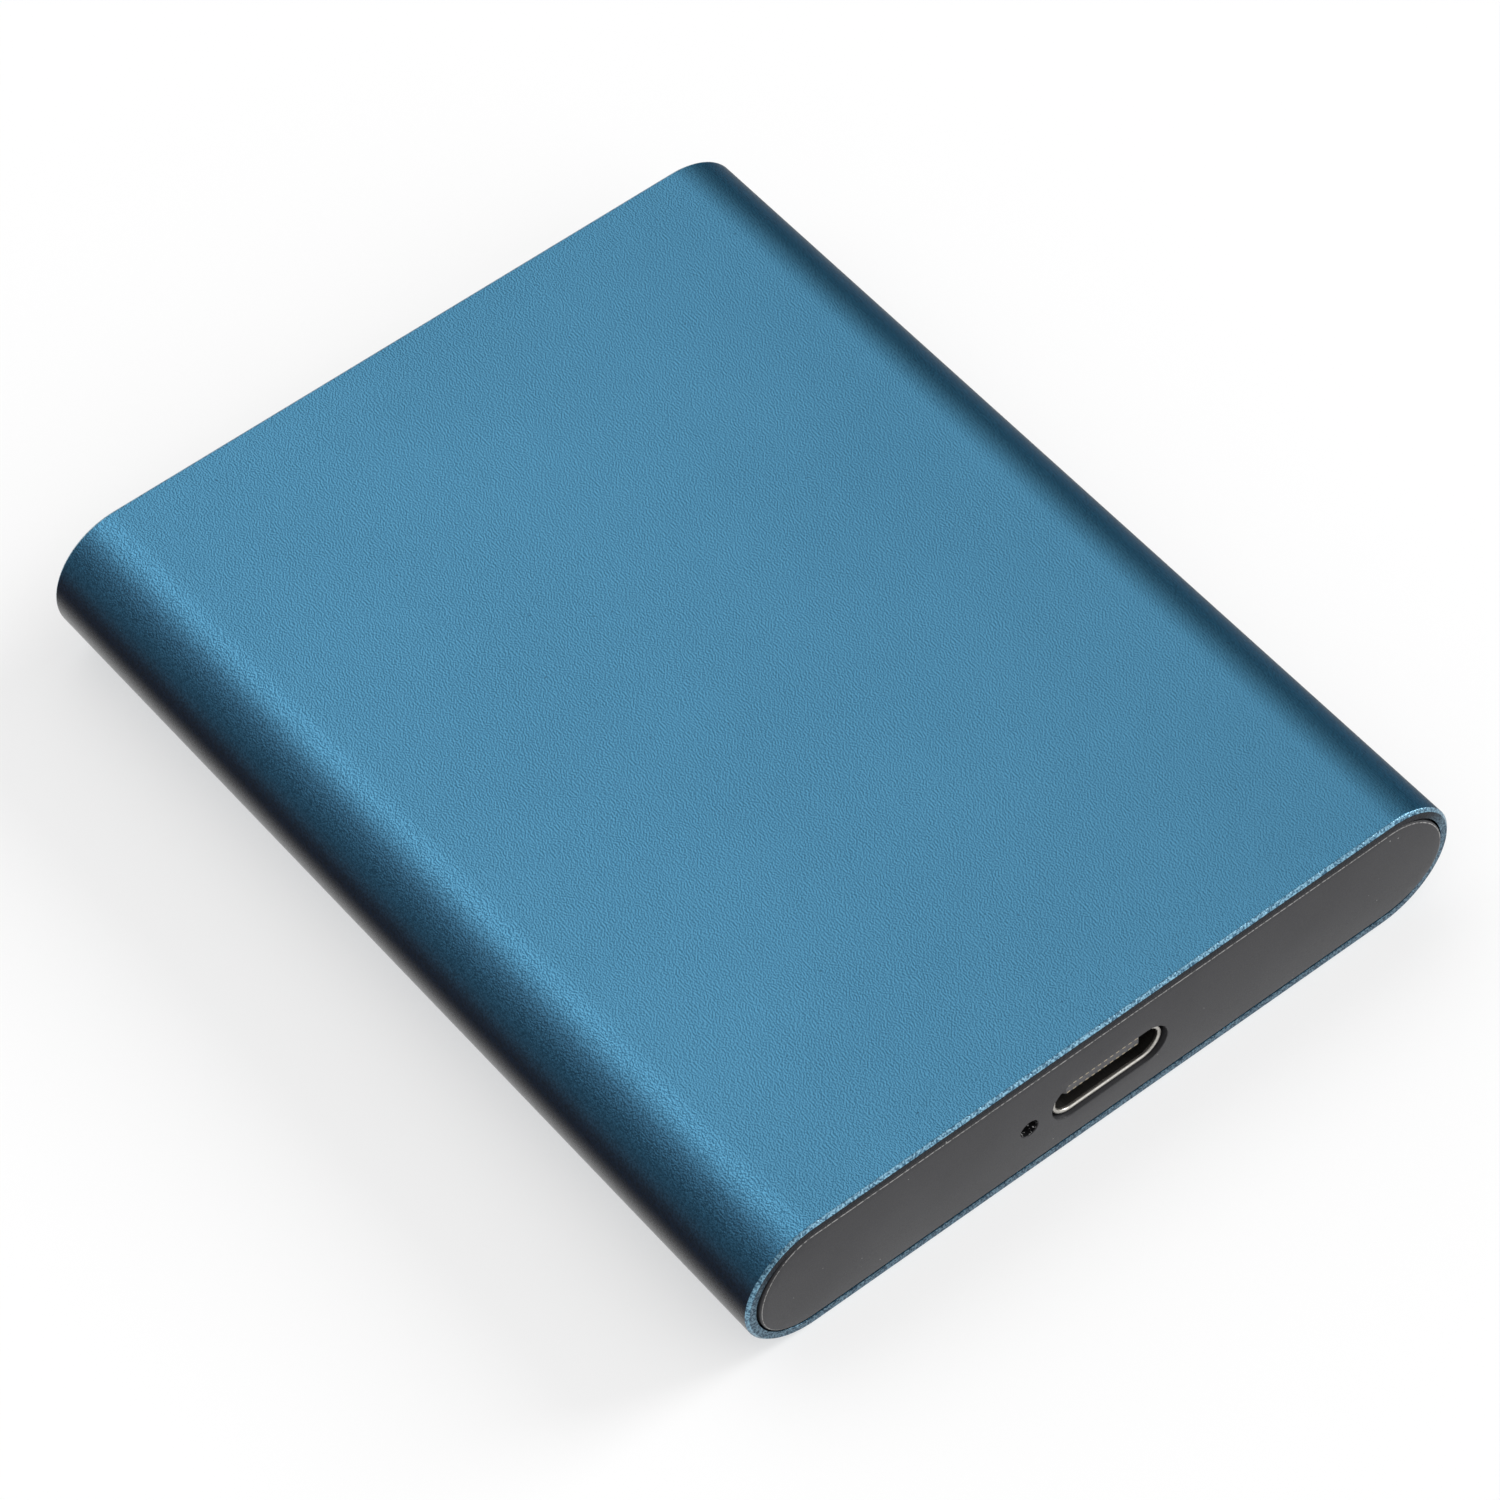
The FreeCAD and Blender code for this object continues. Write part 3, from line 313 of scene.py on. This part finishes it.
sleeve = Shell()
core_loops = []
skins = []
for way in (-1, 1):
    rings = [sleeve.ring(sleeve_outline, round_radius - inset * MM, way * (end_y - depth * MM))
             for inset, depth in rim_steps]
    for k, (first, second) in enumerate(zip(rings, rings[1:])):
        sleeve.bridge(first, second, BAND_FINISH.get(k, 0))
    bore = sleeve.ring(sleeve_outline, bore_radius, way * core_end)
    sleeve.bridge(rings[-1], bore)
    core_loops.append(ribbed_loop(sleeve, bore, way * core_end))
    skins.append(rings[0])
sleeve.bridge(*core_loops)
sleeve.bridge(*skins)
sleeve_piece = sleeve.make("sleeve_blasted", [sleeve_blue, rim_blue, end_blue])
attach(sleeve_piece, "root")
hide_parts("housing_sleeve")


# Board tray and end frames: black glass-filled nylon, moulded with a fine spark-eroded grain. The
# tray slides in between the sleeve's ribs and the frames are screwed onto its screw ports.
moulded_grain, given, out = new_group("moulded_grain", [("Per metre", 9000.0)], ["Height", "Tone"])
place_on = add(moulded_grain, "ShaderNodeTexCoord").outputs["Object"]
fine = add(moulded_grain, "ShaderNodeTexNoise", Vector=place_on, Scale=given.outputs[0], Detail=2.0)
flow = add(moulded_grain, "ShaderNodeTexNoise", Vector=place_on, Scale=120.0, Detail=4.0)
tone = math_node(moulded_grain, "ADD", math_node(moulded_grain, "MULTIPLY", fine.outputs[0], 0.55),
                 math_node(moulded_grain, "MULTIPLY", flow.outputs[0], 0.45))
for socket, value in zip(out.inputs, (fine.outputs[0], tone)):
    moulded_grain.links.new(value, socket)


def moulded(name, dark, light, rough, gloss, per_metre=9000.0, depth=0.00001):
    material, tree, shader = new_material(name)
    grain = place_group(tree, moulded_grain, Per_metre=per_metre)
    shade = mix_colour(tree, ramp(tree, grain["Tone"], 0.3, 0.7), dark, light)
    tree.links.new(shade, shader.inputs["Base Color"])
    tree.links.new(ramp(tree, grain["Tone"], 0.3, 0.7, rough, gloss), shader.inputs["Roughness"])
    bump(tree, shader, grain["Height"], depth)
    return material


def coat(material, *names):
    for name in names:
        solids[name].data.materials.clear()
        solids[name].data.materials.append(material)


coat(moulded("black_nylon_tray", (0.017, 0.017, 0.019), (0.033, 0.033, 0.036), 0.62, 0.5), "board_tray")
coat(moulded("black_nylon_frame", (0.013, 0.013, 0.014), (0.027, 0.027, 0.03), 0.58, 0.46),
     "front_frame", "rear_frame")


# Frame, board and card screws: cold-headed steel with a cross recess, zinc plated, so they are pale
# with a faint bloom in the plating.
metal_grain, given, out = new_group(
    "metal_grain", [("Per metre", 6000.0), ("Stretch", 1.0)], ["Height", "Tone"])
place_on = add(metal_grain, "ShaderNodeTexCoord").outputs["Object"]
squeeze = add(metal_grain, "ShaderNodeCombineXYZ", X=1.0, Y=given.outputs["Stretch"], Z=1.0)
drawn = add(metal_grain, "ShaderNodeVectorMath", {"operation": "MULTIPLY"},
            i0=place_on, i1=squeeze.outputs[0])
fine = add(metal_grain, "ShaderNodeTexNoise", Vector=drawn.outputs[0], Scale=given.outputs[0], Detail=3.0)
bloom = add(metal_grain, "ShaderNodeTexNoise", Vector=place_on, Scale=500.0, Detail=3.0)
tone = math_node(metal_grain, "ADD", math_node(metal_grain, "MULTIPLY", fine.outputs[0], 0.5),
                 math_node(metal_grain, "MULTIPLY", bloom.outputs[0], 0.5))
for socket, value in zip(out.inputs, (fine.outputs[0], tone)):
    metal_grain.links.new(value, socket)


def metal(name, dark, light, rough, gloss, per_metre=6000.0, stretch=1.0, depth=0.000004):
    material, tree, shader = new_material(name, Metallic=1.0)
    grain = place_group(tree, metal_grain, Per_metre=per_metre, Stretch=stretch)
    shade = mix_colour(tree, ramp(tree, grain["Tone"], 0.3, 0.7), dark, light)
    tree.links.new(shade, shader.inputs["Base Color"])
    tree.links.new(ramp(tree, grain["Tone"], 0.3, 0.7, rough, gloss), shader.inputs["Roughness"])
    bump(tree, shader, grain["Height"], depth)
    return material


coat(metal("zinc_plated_steel", (0.47, 0.47, 0.49), (0.62, 0.62, 0.62), 0.42, 0.28),
     "front_frame_screws", "rear_frame_screws", "board_screws", "ssd_screw")


# Bridge board and flash card: glass-epoxy laminate with copper tracks under green or blue solder
# mask. The mask stands up a little where it runs over a track.
board_tracks, given, out = new_group("board_tracks", [("Per metre", 900.0)], ["Track", "Via", "Tone"])
place_on = add(board_tracks, "ShaderNodeTexCoord").outputs["Object"]
bent = add(board_tracks, "ShaderNodeTexVoronoi", {"distance": "MANHATTAN"}, Vector=place_on,
           Scale=math_node(board_tracks, "MULTIPLY", given.outputs[0], 0.28))
waves = math_node(board_tracks, "SINE", math_node(board_tracks, "MULTIPLY", bent.outputs["Distance"], 34.0))
track = ramp(board_tracks, waves, 0.1, 0.3)
holes = add(board_tracks, "ShaderNodeTexVoronoi", Vector=place_on, Scale=given.outputs[0])
via = ramp(board_tracks, holes.outputs["Distance"], 0.16, 0.13)
glass = add(board_tracks, "ShaderNodeTexNoise", Vector=place_on, Scale=2600.0, Detail=3.0)
for socket, value in zip(out.inputs, (track, via, glass.outputs[0])):
    board_tracks.links.new(value, socket)


def laminate(name, bare, over_copper):
    material, tree, shader = new_material(name, Specular_IOR_Level=0.5)
    board = place_group(tree, board_tracks, Per_metre=900.0)
    mask = mix_colour(tree, board["Track"], bare, over_copper)
    pale = tuple(c * 1.5 for c in over_copper)
    weave = mix_colour(tree, ramp(tree, board["Tone"], 0.3, 0.7, 0.0, 0.35), mask, pale)
    tree.links.new(mix_colour(tree, board["Via"], weave, (0.5, 0.4, 0.2)), shader.inputs["Base Color"])
    tree.links.new(ramp(tree, board["Tone"], 0.3, 0.7, 0.42, 0.3), shader.inputs["Roughness"])
    bump(tree, shader, board["Track"], 0.00003)
    return material


coat(laminate("green_solder_mask", (0.012, 0.07, 0.035), (0.028, 0.125, 0.06)), "bridge_board")
coat(laminate("blue_solder_mask", (0.01, 0.026, 0.062), (0.02, 0.055, 0.12)), "ssd_board")


# Chips on both boards: black epoxy mould compound on the bridge, firmware, controller and memory
# packages. The quartz crystal has a nickel lid and the inductors are pressed ferrite.
coat(moulded("chip_mould_compound", (0.013, 0.013, 0.014), (0.026, 0.026, 0.028), 0.62, 0.45,
             14000.0, 0.000006),
     "bridge_chip", "firmware_chip", "ssd_controller", "nand_chips")
coat(metal("nickel_lid", (0.5, 0.49, 0.46), (0.66, 0.65, 0.61), 0.36, 0.24, 4000.0), "crystal")
coat(moulded("pressed_ferrite", (0.045, 0.045, 0.048), (0.095, 0.095, 0.1), 0.75, 0.6,
             12000.0, 0.00002), "inductors")


# Chip capacitors and resistors: fired ceramic bodies with tinned ends, which lie across the boards
# in rows. The resistors are black on top under their glaze.
end_bands, given, out = new_group(
    "end_bands", [("Row on X", 0.0136), ("Body half", 0.0005)], ["End", "Tone"])
place_on = add(end_bands, "ShaderNodeTexCoord").outputs["Object"]
across = math_node(end_bands, "ABSOLUTE", add(end_bands, "ShaderNodeSeparateXYZ", Vector=place_on).outputs[0])
from_row = math_node(end_bands, "ABSOLUTE", math_node(end_bands, "SUBTRACT", across, given.outputs[0]))
edge_noise = add(end_bands, "ShaderNodeTexNoise", Vector=place_on, Scale=9000.0, Detail=2.0).outputs[0]
wavy = math_node(end_bands, "ADD", from_row, math_node(end_bands, "MULTIPLY", edge_noise, 0.00006))
end = math_node(end_bands, "GREATER_THAN", wavy, given.outputs[1])
for socket, value in zip(out.inputs, (end, edge_noise)):
    end_bands.links.new(value, socket)


def chip_part(name, dark, light, row_x):
    material, tree, shader = new_material(name)
    bands = place_group(tree, end_bands, Row_on_X=row_x, Body_half=0.00052)
    body = mix_colour(tree, ramp(tree, bands["Tone"], 0.3, 0.7), dark, light)
    tree.links.new(mix_colour(tree, bands["End"], body, (0.62, 0.62, 0.6)), shader.inputs["Base Color"])
    tree.links.new(bands["End"], shader.inputs["Metallic"])
    tree.links.new(ramp(tree, bands["Tone"], 0.3, 0.7, 0.5, 0.34), shader.inputs["Roughness"])
    bump(tree, shader, bands["Tone"], 0.000006)
    return material


board_row_x, card_row_x = 13.6 * MM, 7.5 * MM
ceramic_dark, ceramic_light = (0.36, 0.24, 0.13), (0.48, 0.34, 0.21)
coat(chip_part("tan_ceramic_board", ceramic_dark, ceramic_light, board_row_x), "bridge_capacitors")
coat(chip_part("tan_ceramic_card", ceramic_dark, ceramic_light, card_row_x), "ssd_capacitors")
coat(chip_part("black_glaze", (0.018, 0.018, 0.021), (0.042, 0.042, 0.048), board_row_x),
     "bridge_resistors")


# Card socket, standoff and thermal pad: a black liquid-crystal polymer bar with gilt tails, a turned
# brass post for the card's screw, and a soft grey silicone pad against the sleeve's roof.
coat(moulded("black_socket_polymer", (0.014, 0.014, 0.014), (0.028, 0.028, 0.028), 0.55, 0.4, 7000.0),
     "m2_socket")
gilt = metal("gold_flash", (0.46, 0.39, 0.27), (0.62, 0.54, 0.4), 0.38, 0.28, 9000.0)
coat(gilt, "m2_socket_contacts", "usb_c_contacts")
coat(metal("turned_brass", (0.52, 0.4, 0.16), (0.68, 0.56, 0.27), 0.36, 0.24, 12000.0, 0.15),
     "ssd_standoff")
coat(moulded("grey_silicone", (0.3, 0.3, 0.35), (0.42, 0.42, 0.49), 0.85, 0.7, 2600.0, 0.00003),
     "thermal_pad")


# Receptacle shell: stainless strip drawn into a tube with a rolled lip, and four legs that are
# soldered into the board. The lip is the bright ring round the port.
shell_low, shell_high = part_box("usb_c_shell")
shell_front, shell_rear = shell_low.y, shell_high.y
ring_radius = 1.58 * MM
ring_reach = shell_high.x - ring_radius
ring_wall = 0.3 * MM
lip_outer, lip_inner = 0.1 * MM, 0.13 * MM
leg_length, leg_rear, leg_pitch = 0.7 * MM, 0.6 * MM, 1.6 * MM
port_steel = metal("drawn_stainless", (0.4, 0.385, 0.355), (0.6, 0.58, 0.54), 0.38, 0.28, 7000.0, 0.2)
# Painted shade: the shell's inner wall is the same steel painted near black, for the shade inside the port.
painted_shade_bore_steel = metal("drawn_stainless_bore_painted_shade", (0.05, 0.048, 0.045), (0.09, 0.086, 0.08), 0.5, 0.4,
                   7000.0, 0.2)

half_turn = spread(-quarter, quarter, 24)
ring_outline = slot_outline(ring_reach, spread(-ring_reach, ring_reach, 6)[1:-1], half_turn)
ring_steps = [(0.0, shell_rear - shell_front), (0.0, 2 * lip_outer)]
ring_steps += [(lip_outer * (1 - math.cos(a)), lip_outer * (1 - math.sin(a))) for a in spread(0, quarter, 5)]
ring_steps += [(ring_wall - lip_inner * (1 - math.sin(a)), lip_inner * (1 - math.cos(a)))
               for a in spread(0, quarter, 5)]
ring_steps += [(ring_wall, 2 * lip_inner), (ring_wall, shell_rear - shell_front)]
port_shell = Shell()
rings = [port_shell.ring(ring_outline, ring_radius - inset, shell_front + depth)
         for inset, depth in ring_steps]
for k, (first, second) in enumerate(zip(rings, rings[1:] + rings[:1])):
    port_shell.bridge(first, second, 1 if k == len(rings) - 2 else 0)
for side in (-1, 1):
    for k in (0, 1):
        leg_y = shell_rear - leg_rear - k * leg_pitch
        foot = [(side * x, leg_y + y) for x, y in (
            (shell_high.x - ring_wall, -leg_length / 2), (shell_high.x, -leg_length / 2),
            (shell_high.x, leg_length / 2), (shell_high.x - ring_wall, leg_length / 2))]
        low = port_shell.add_points([(x, y, shell_low.z) for x, y in foot])
        high = port_shell.add_points([(x, y, mid_z) for x, y in foot])
        port_shell.bridge(low, high)
        port_shell.add_face(low)
        port_shell.add_face(high)
port_shell_piece = port_shell.make("port_shell_rolled_lip", [port_steel, painted_shade_bore_steel])
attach(port_shell_piece, "root")
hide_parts("usb_c_shell")
coat(port_steel, "usb_c_mid_plate")


# Receptacle insulator: the moulded block that fills the shell's rear, with the tongue that carries
# the gilt contacts on both faces.
coat(moulded("dark_port_polymer", (0.05, 0.05, 0.054), (0.1, 0.1, 0.108), 0.5, 0.38, 9000.0, 0.000006),
     "usb_c_insulator")


# Light pipe and status light: a clear acrylic elbow behind the hole in the front cap, over a small
# white light package on the board.
clear_acrylic, tree, shader = new_material("clear_acrylic", Transmission_Weight=0.6, IOR=1.49)
grain = place_group(tree, moulded_grain, Per_metre=3200.0)
# Painted glints: the pipe is flecked pale where it would catch the light.
painted_pipe_glints = ramp(tree, grain["Height"], 0.56, 0.62)
tree.links.new(mix_colour(tree, painted_pipe_glints, (0.3, 0.31, 0.32), (0.92, 0.93, 0.94)), shader.inputs["Base Color"])
tree.links.new(ramp(tree, grain["Tone"], 0.3, 0.7, 0.22, 0.08), shader.inputs["Roughness"])
bump(tree, shader, grain["Height"], 0.00012)
coat(clear_acrylic, "light_pipe")
coat(moulded("white_light_package", (0.66, 0.65, 0.58), (0.8, 0.79, 0.72), 0.4, 0.25, 6000.0), "status_led")


# Cap tape: black foam with adhesive on both faces, die-cut to clear the port and the light. It holds
# each end cap on its frame.
coat(moulded("black_foam_adhesive", (0.018, 0.018, 0.018), (0.045, 0.045, 0.045), 0.9, 0.75,
             5000.0, 0.00003),
     "front_cap_tape", "rear_cap_tape")


# End caps: dark grey moulded plates with a satin skin and a softly rounded edge, crowned from top to
# bottom. The front one has the port's slot and the status light's hole.
cap_low, cap_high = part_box("front_cap")
cap_back = cap_high.y
cap_front = cap_low.y
cap_radius = cap_high.z - mid_z
cap_crown = 0.25 * MM
cap_edge = 0.2 * MM
mouth_edge = 0.07 * MM
crown_radius = (cap_radius ** 2 + cap_crown ** 2) / (2 * cap_crown)
mouth_radius, mouth_reach = 1.7 * MM, 3.0 * MM
light_x = sum(corner.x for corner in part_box("light_pipe")) / 2
light_radius = 0.7 * MM

dust_specks, given, out = new_group("dust_specks", [("Per metre", 900.0), ("Share", 0.1)], ["Dust"])
place_on = add(dust_specks, "ShaderNodeTexCoord").outputs["Object"]
cells = add(dust_specks, "ShaderNodeTexVoronoi", Vector=place_on, Scale=given.outputs[0])
lot = add(dust_specks, "ShaderNodeSeparateColor", i0=cells.outputs["Color"])
picked = math_node(dust_specks, "LESS_THAN", lot.outputs[0], given.outputs[1])
reach_out = math_node(dust_specks, "MULTIPLY", lot.outputs[1], 0.075)
speck = math_node(dust_specks, "LESS_THAN", cells.outputs["Distance"], reach_out)
dust_specks.links.new(math_node(dust_specks, "MULTIPLY", picked, speck), out.inputs[0])

cap_grey, tree, shader = new_material("dark_grey_satin", Specular_IOR_Level=0.25)
grain = place_group(tree, moulded_grain, Per_metre=11000.0)
dust = place_group(tree, dust_specks, Per_metre=1300.0, Share=0.2)
satin = mix_colour(tree, ramp(tree, grain["Tone"], 0.3, 0.7), (0.029, 0.029, 0.032), (0.037, 0.037, 0.0405))
tree.links.new(mix_colour(tree, dust["Dust"], satin, (0.3, 0.3, 0.29)), shader.inputs["Base Color"])
tree.links.new(ramp(tree, grain["Tone"], 0.3, 0.7, 0.46, 0.38), shader.inputs["Roughness"])
bump(tree, shader, grain["Height"], 0.000006)

# Painted highlight: the band where each cap's rounded edge meets its face is painted a broken pale grey, as
# the light line along that edge.
edge_highlight_grey, tree, shader = new_material("dark_grey_painted_edge_highlight", Specular_IOR_Level=0.4)
grain = place_group(tree, moulded_grain, Per_metre=5200.0)
flecks_and_painted_highlight = mix_colour(tree, ramp(tree, grain["Height"], 0.38, 0.56), (0.06, 0.06, 0.062), (0.26, 0.255, 0.25))
tree.links.new(flecks_and_painted_highlight, shader.inputs["Base Color"])
tree.links.new(ramp(tree, grain["Tone"], 0.3, 0.7, 0.4, 0.3), shader.inputs["Roughness"])
bump(tree, shader, grain["Height"], 0.000006)

# Painted shade and glints: the status light's hole wall is painted near black, with pale flecks as glints.
painted_hole_shade_glints, tree, shader = new_material("light_hole_painted_shade_glints", Specular_IOR_Level=0.25)
grain = place_group(tree, moulded_grain, Per_metre=4600.0)
painted_hole_glints = mix_colour(tree, ramp(tree, grain["Height"], 0.58, 0.64), (0.005, 0.005, 0.006), (0.5, 0.5, 0.5))
tree.links.new(painted_hole_glints, shader.inputs["Base Color"])
tree.links.new(ramp(tree, grain["Tone"], 0.3, 0.7, 0.5, 0.4), shader.inputs["Roughness"])

cap_flats = spread(-round_reach, round_reach, 40)[1:-1]
cap_outline = slot_outline(round_reach, cap_flats, spread(-quarter, quarter, 36))
mouth_flats = spread(-mouth_reach, mouth_reach, 8)[1:-1]
mouth_outline = slot_outline(mouth_reach, mouth_flats, spread(-quarter, quarter, 18))
light_outline = slot_outline(0.0, [], spread(-quarter, quarter, 20)[:-1])
WALL_BAND, HIGHLIGHT_BAND = 0, 4
face_grid_x, face_grid_z, face_grid_gap = 27.0 * MM, 3.9 * MM, 0.45 * MM


def crown_depth(z):
    return cap_front + crown_radius - math.sqrt(crown_radius ** 2 - z ** 2)


def edge_roll(radius):
    return [(radius * (1 - math.cos(a)), radius * (1 - math.sin(a))) for a in spread(0, quarter, 5)]


def from_slot(x, z, reach):
    return math.hypot(max(abs(x) - reach, 0.0), z)


def end_cap(name, node, openings, turned):
    shell = Shell()

    def crowned_ring(outline, centre_x, radius, drop):
        made = []
        for cx, dx, dz in outline:
            z = radius * dz
            made.append((centre_x + cx + radius * dx, crown_depth(z) + drop, z))
        return shell.add_points(made)

    def flat_ring(outline, centre_x, radius):
        return shell.add_points([(centre_x + cx + radius * dx, cap_back, radius * dz)
                                 for cx, dx, dz in outline])

    face_loops = []
    back_loops = []
    for outline, centre_x, radius, edge, sign in [(cap_outline, 0.0, cap_radius, cap_edge, -1)] + openings:
        rings = [flat_ring(outline, centre_x, radius)]
        rings += [crowned_ring(outline, centre_x, radius + sign * inset, drop)
                  for inset, drop in edge_roll(edge)]
        for k, (first, second) in enumerate(zip(rings, rings[1:])):
            finish = 0
            if outline is cap_outline and k == HIGHLIGHT_BAND:
                finish = 1
            elif outline is light_outline and k == WALL_BAND:
                finish = 2
            shell.bridge(first, second, finish)
        back_loops.append(rings[0])
        face_loops.append(rings[-1])

    def on_plate(x, z, slack):
        if from_slot(x, z, round_reach) > cap_radius - slack:
            return False
        for outline, centre_x, radius, edge, sign in openings:
            reach = max(cx for cx, dx, dz in outline)
            if from_slot(x - centre_x, z, reach) < radius + slack:
                return False
        return True

    def fill(loops, rows, slack):
        flat = [Vector((shell.points[i][0], shell.points[i][2])) for loop in loops for i in loop]
        index = [i for loop in loops for i in loop]
        edges = []
        start = 0
        for loop in loops:
            edges += [(start + k, start + (k + 1) % len(loop)) for k in range(len(loop))]
            start += len(loop)
        for z in rows:
            for x in spread(-face_grid_x, face_grid_x, 54):
                if on_plate(x, z, slack):
                    flat.append(Vector((x, z)))
                    index += shell.add_points([(x, crown_depth(z), z)])
        points, _, faces, origin, _, _ = delaunay_2d_cdt(flat, edges, [], 0, 1e-9, True)
        for face in faces:
            centre = sum((points[k] for k in face), Vector((0.0, 0.0))) / 3
            if on_plate(centre.x, centre.y, 0.0):
                shell.add_face([index[origin[k][0]] for k in face])

    fill(face_loops, spread(-face_grid_z, face_grid_z, 13), face_grid_gap)
    fill(back_loops, [], 0.0)
    spin = Matrix.Rotation(math.pi if turned else 0.0, 4, "Z")
    shell.points = [tuple(spin @ Vector(p) + Vector((0.0, 0.0, mid_z))) for p in shell.points]
    piece = shell.make(name, [cap_grey, edge_highlight_grey, painted_hole_shade_glints])
    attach(piece, "root")
    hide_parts(node)


end_cap("front_cap_satin", "front_cap", [
    (mouth_outline, 0.0, mouth_radius, mouth_edge, 1),
    (light_outline, light_x, light_radius, mouth_edge, 1)], False)
end_cap("rear_cap_satin", "rear_cap", [], True)


# Studio: a pale matt table, a broad soft light overhead and behind, a soft key from the right, and
# the camera where the photographer stood. Part of the table's white is shown to the camera as such.
table_mesh = bpy.data.meshes.new("studio_table")
half = 8.0
shown_white = 0.55
corners = [(-half, -half, 0), (half, -half, 0), (half, half, 0), (-half, half, 0)]
table_mesh.from_pydata(corners, [], [(0, 1, 2, 3)])
table = bpy.data.objects.new("studio_table", table_mesh)
bpy.context.scene.collection.objects.link(table)
table_white, tree, shader = new_material("matt_white_table", Roughness=0.9, Specular_IOR_Level=0.1)
paper = add(tree, "ShaderNodeTexNoise", Vector=add(tree, "ShaderNodeTexCoord").outputs["Object"], Scale=30.0)
pale = mix_colour(tree, paper.outputs[0], (0.91, 0.91, 0.91), (0.93, 0.93, 0.93))
tree.links.new(pale, shader.inputs["Base Color"])
path = add(tree, "ShaderNodeLightPath").outputs
seen_by = math_node(tree, "MAXIMUM", path["Is Camera Ray"], path["Is Glossy Ray"])
seen_by = math_node(tree, "MAXIMUM", seen_by, path["Is Transmission Ray"])
white = add(tree, "ShaderNodeEmission", Color=(1.0, 1.0, 1.0, 1.0), Strength=1.0)
share = math_node(tree, "MULTIPLY", seen_by, shown_white)
lit = add(tree, "ShaderNodeMixShader", i0=share, i1=shader.outputs[0], i2=white.outputs[0])
tree.links.new(lit.outputs[0], tree.nodes["Material Output"].inputs["Surface"])
table_mesh.materials.append(table_white)

studio = bpy.data.worlds.new("studio")
bpy.context.scene.world = studio
studio.use_nodes = True
tree = studio.node_tree
seen = add(tree, "ShaderNodeTexCoord").outputs["Generated"]
way = add(tree, "ShaderNodeSeparateXYZ", Vector=seen)
up = math_node(tree, "MAXIMUM", way.outputs[2], 0.05)
across = math_node(tree, "DIVIDE", way.outputs[0], up)
behind = math_node(tree, "DIVIDE", way.outputs[1], up)
panel = math_node(tree, "MULTIPLY", ramp(tree, across, -2.4, -0.2), ramp(tree, across, 1.0, 0.35))
panel = math_node(tree, "MULTIPLY", panel, ramp(tree, behind, 0.1, 0.4))
panel = math_node(tree, "MULTIPLY", panel, ramp(tree, behind, 1.3, 0.85))
skirt = ramp(tree, way.outputs[2], -0.15, 0.3)
skirt = math_node(tree, "MULTIPLY", skirt, ramp(tree, way.outputs[1], 0.1, 0.4))
skirt = math_node(tree, "MULTIPLY", skirt, ramp(tree, way.outputs[0], -1.6, -0.4))
skirt = math_node(tree, "MULTIPLY", skirt, ramp(tree, way.outputs[0], 1.05, 0.5))
fill = ramp(tree, way.outputs[1], 0.27, -0.13)
card_way = (0.35, -0.8, 0.487)
card = add(tree, "ShaderNodeVectorMath", {"operation": "DOT_PRODUCT"}, i0=seen, i1=card_way)
front_card = ramp(tree, card.outputs["Value"], 0.8, 0.96)
horizon = ramp(tree, way.outputs[2], 0.07, 0.03)
strength = 0.05
for part, gain in ((panel, 0.97), (skirt, 0.6), (fill, 0.55), (front_card, 0.95), (horizon, 0.3)):
    strength = math_node(tree, "ADD", math_node(tree, "MULTIPLY", part, gain), strength)
tree.links.new(strength, tree.nodes["Background"].inputs["Strength"])
tree.nodes["Background"].inputs["Color"].default_value = (1.0, 1.0, 1.0, 1.0)

key = bpy.data.lights.new("soft_key", "SUN")
key.energy = 2.0
key.angle = math.radians(24)
key_light = bpy.data.objects.new("soft_key", key)
key_way = Vector((0.86, -0.2, 0.46))
key_light.rotation_euler = key_way.to_track_quat("Z", "Y").to_euler()
bpy.context.scene.collection.objects.link(key_light)

camera = bpy.data.cameras.new("photo_camera")
camera.sensor_width = 36.0
camera.lens = 148.247
camera.clip_start = 0.01
azimuth, elevation, roll = (math.radians(a) for a in (-37.441, 52.4956, -1.8887))
level = math.cos(elevation)
back = Vector((math.sin(azimuth) * level, -math.cos(azimuth) * level, math.sin(elevation)))
right = Vector((0.0, 0.0, 1.0)).cross(back).normalized()
above = back.cross(right)
side = math.cos(roll) * right + math.sin(roll) * above
over = math.cos(roll) * above - math.sin(roll) * right
stand = Matrix((side, over, back)).transposed().to_4x4()
stand.translation = (-0.14833, -0.19467, 0.32044)
viewer = bpy.data.objects.new("photo_camera", camera)
viewer.matrix_world = stand
bpy.context.scene.collection.objects.link(viewer)
bpy.context.scene.camera = viewer
bpy.context.scene.view_settings.view_transform = "Standard"
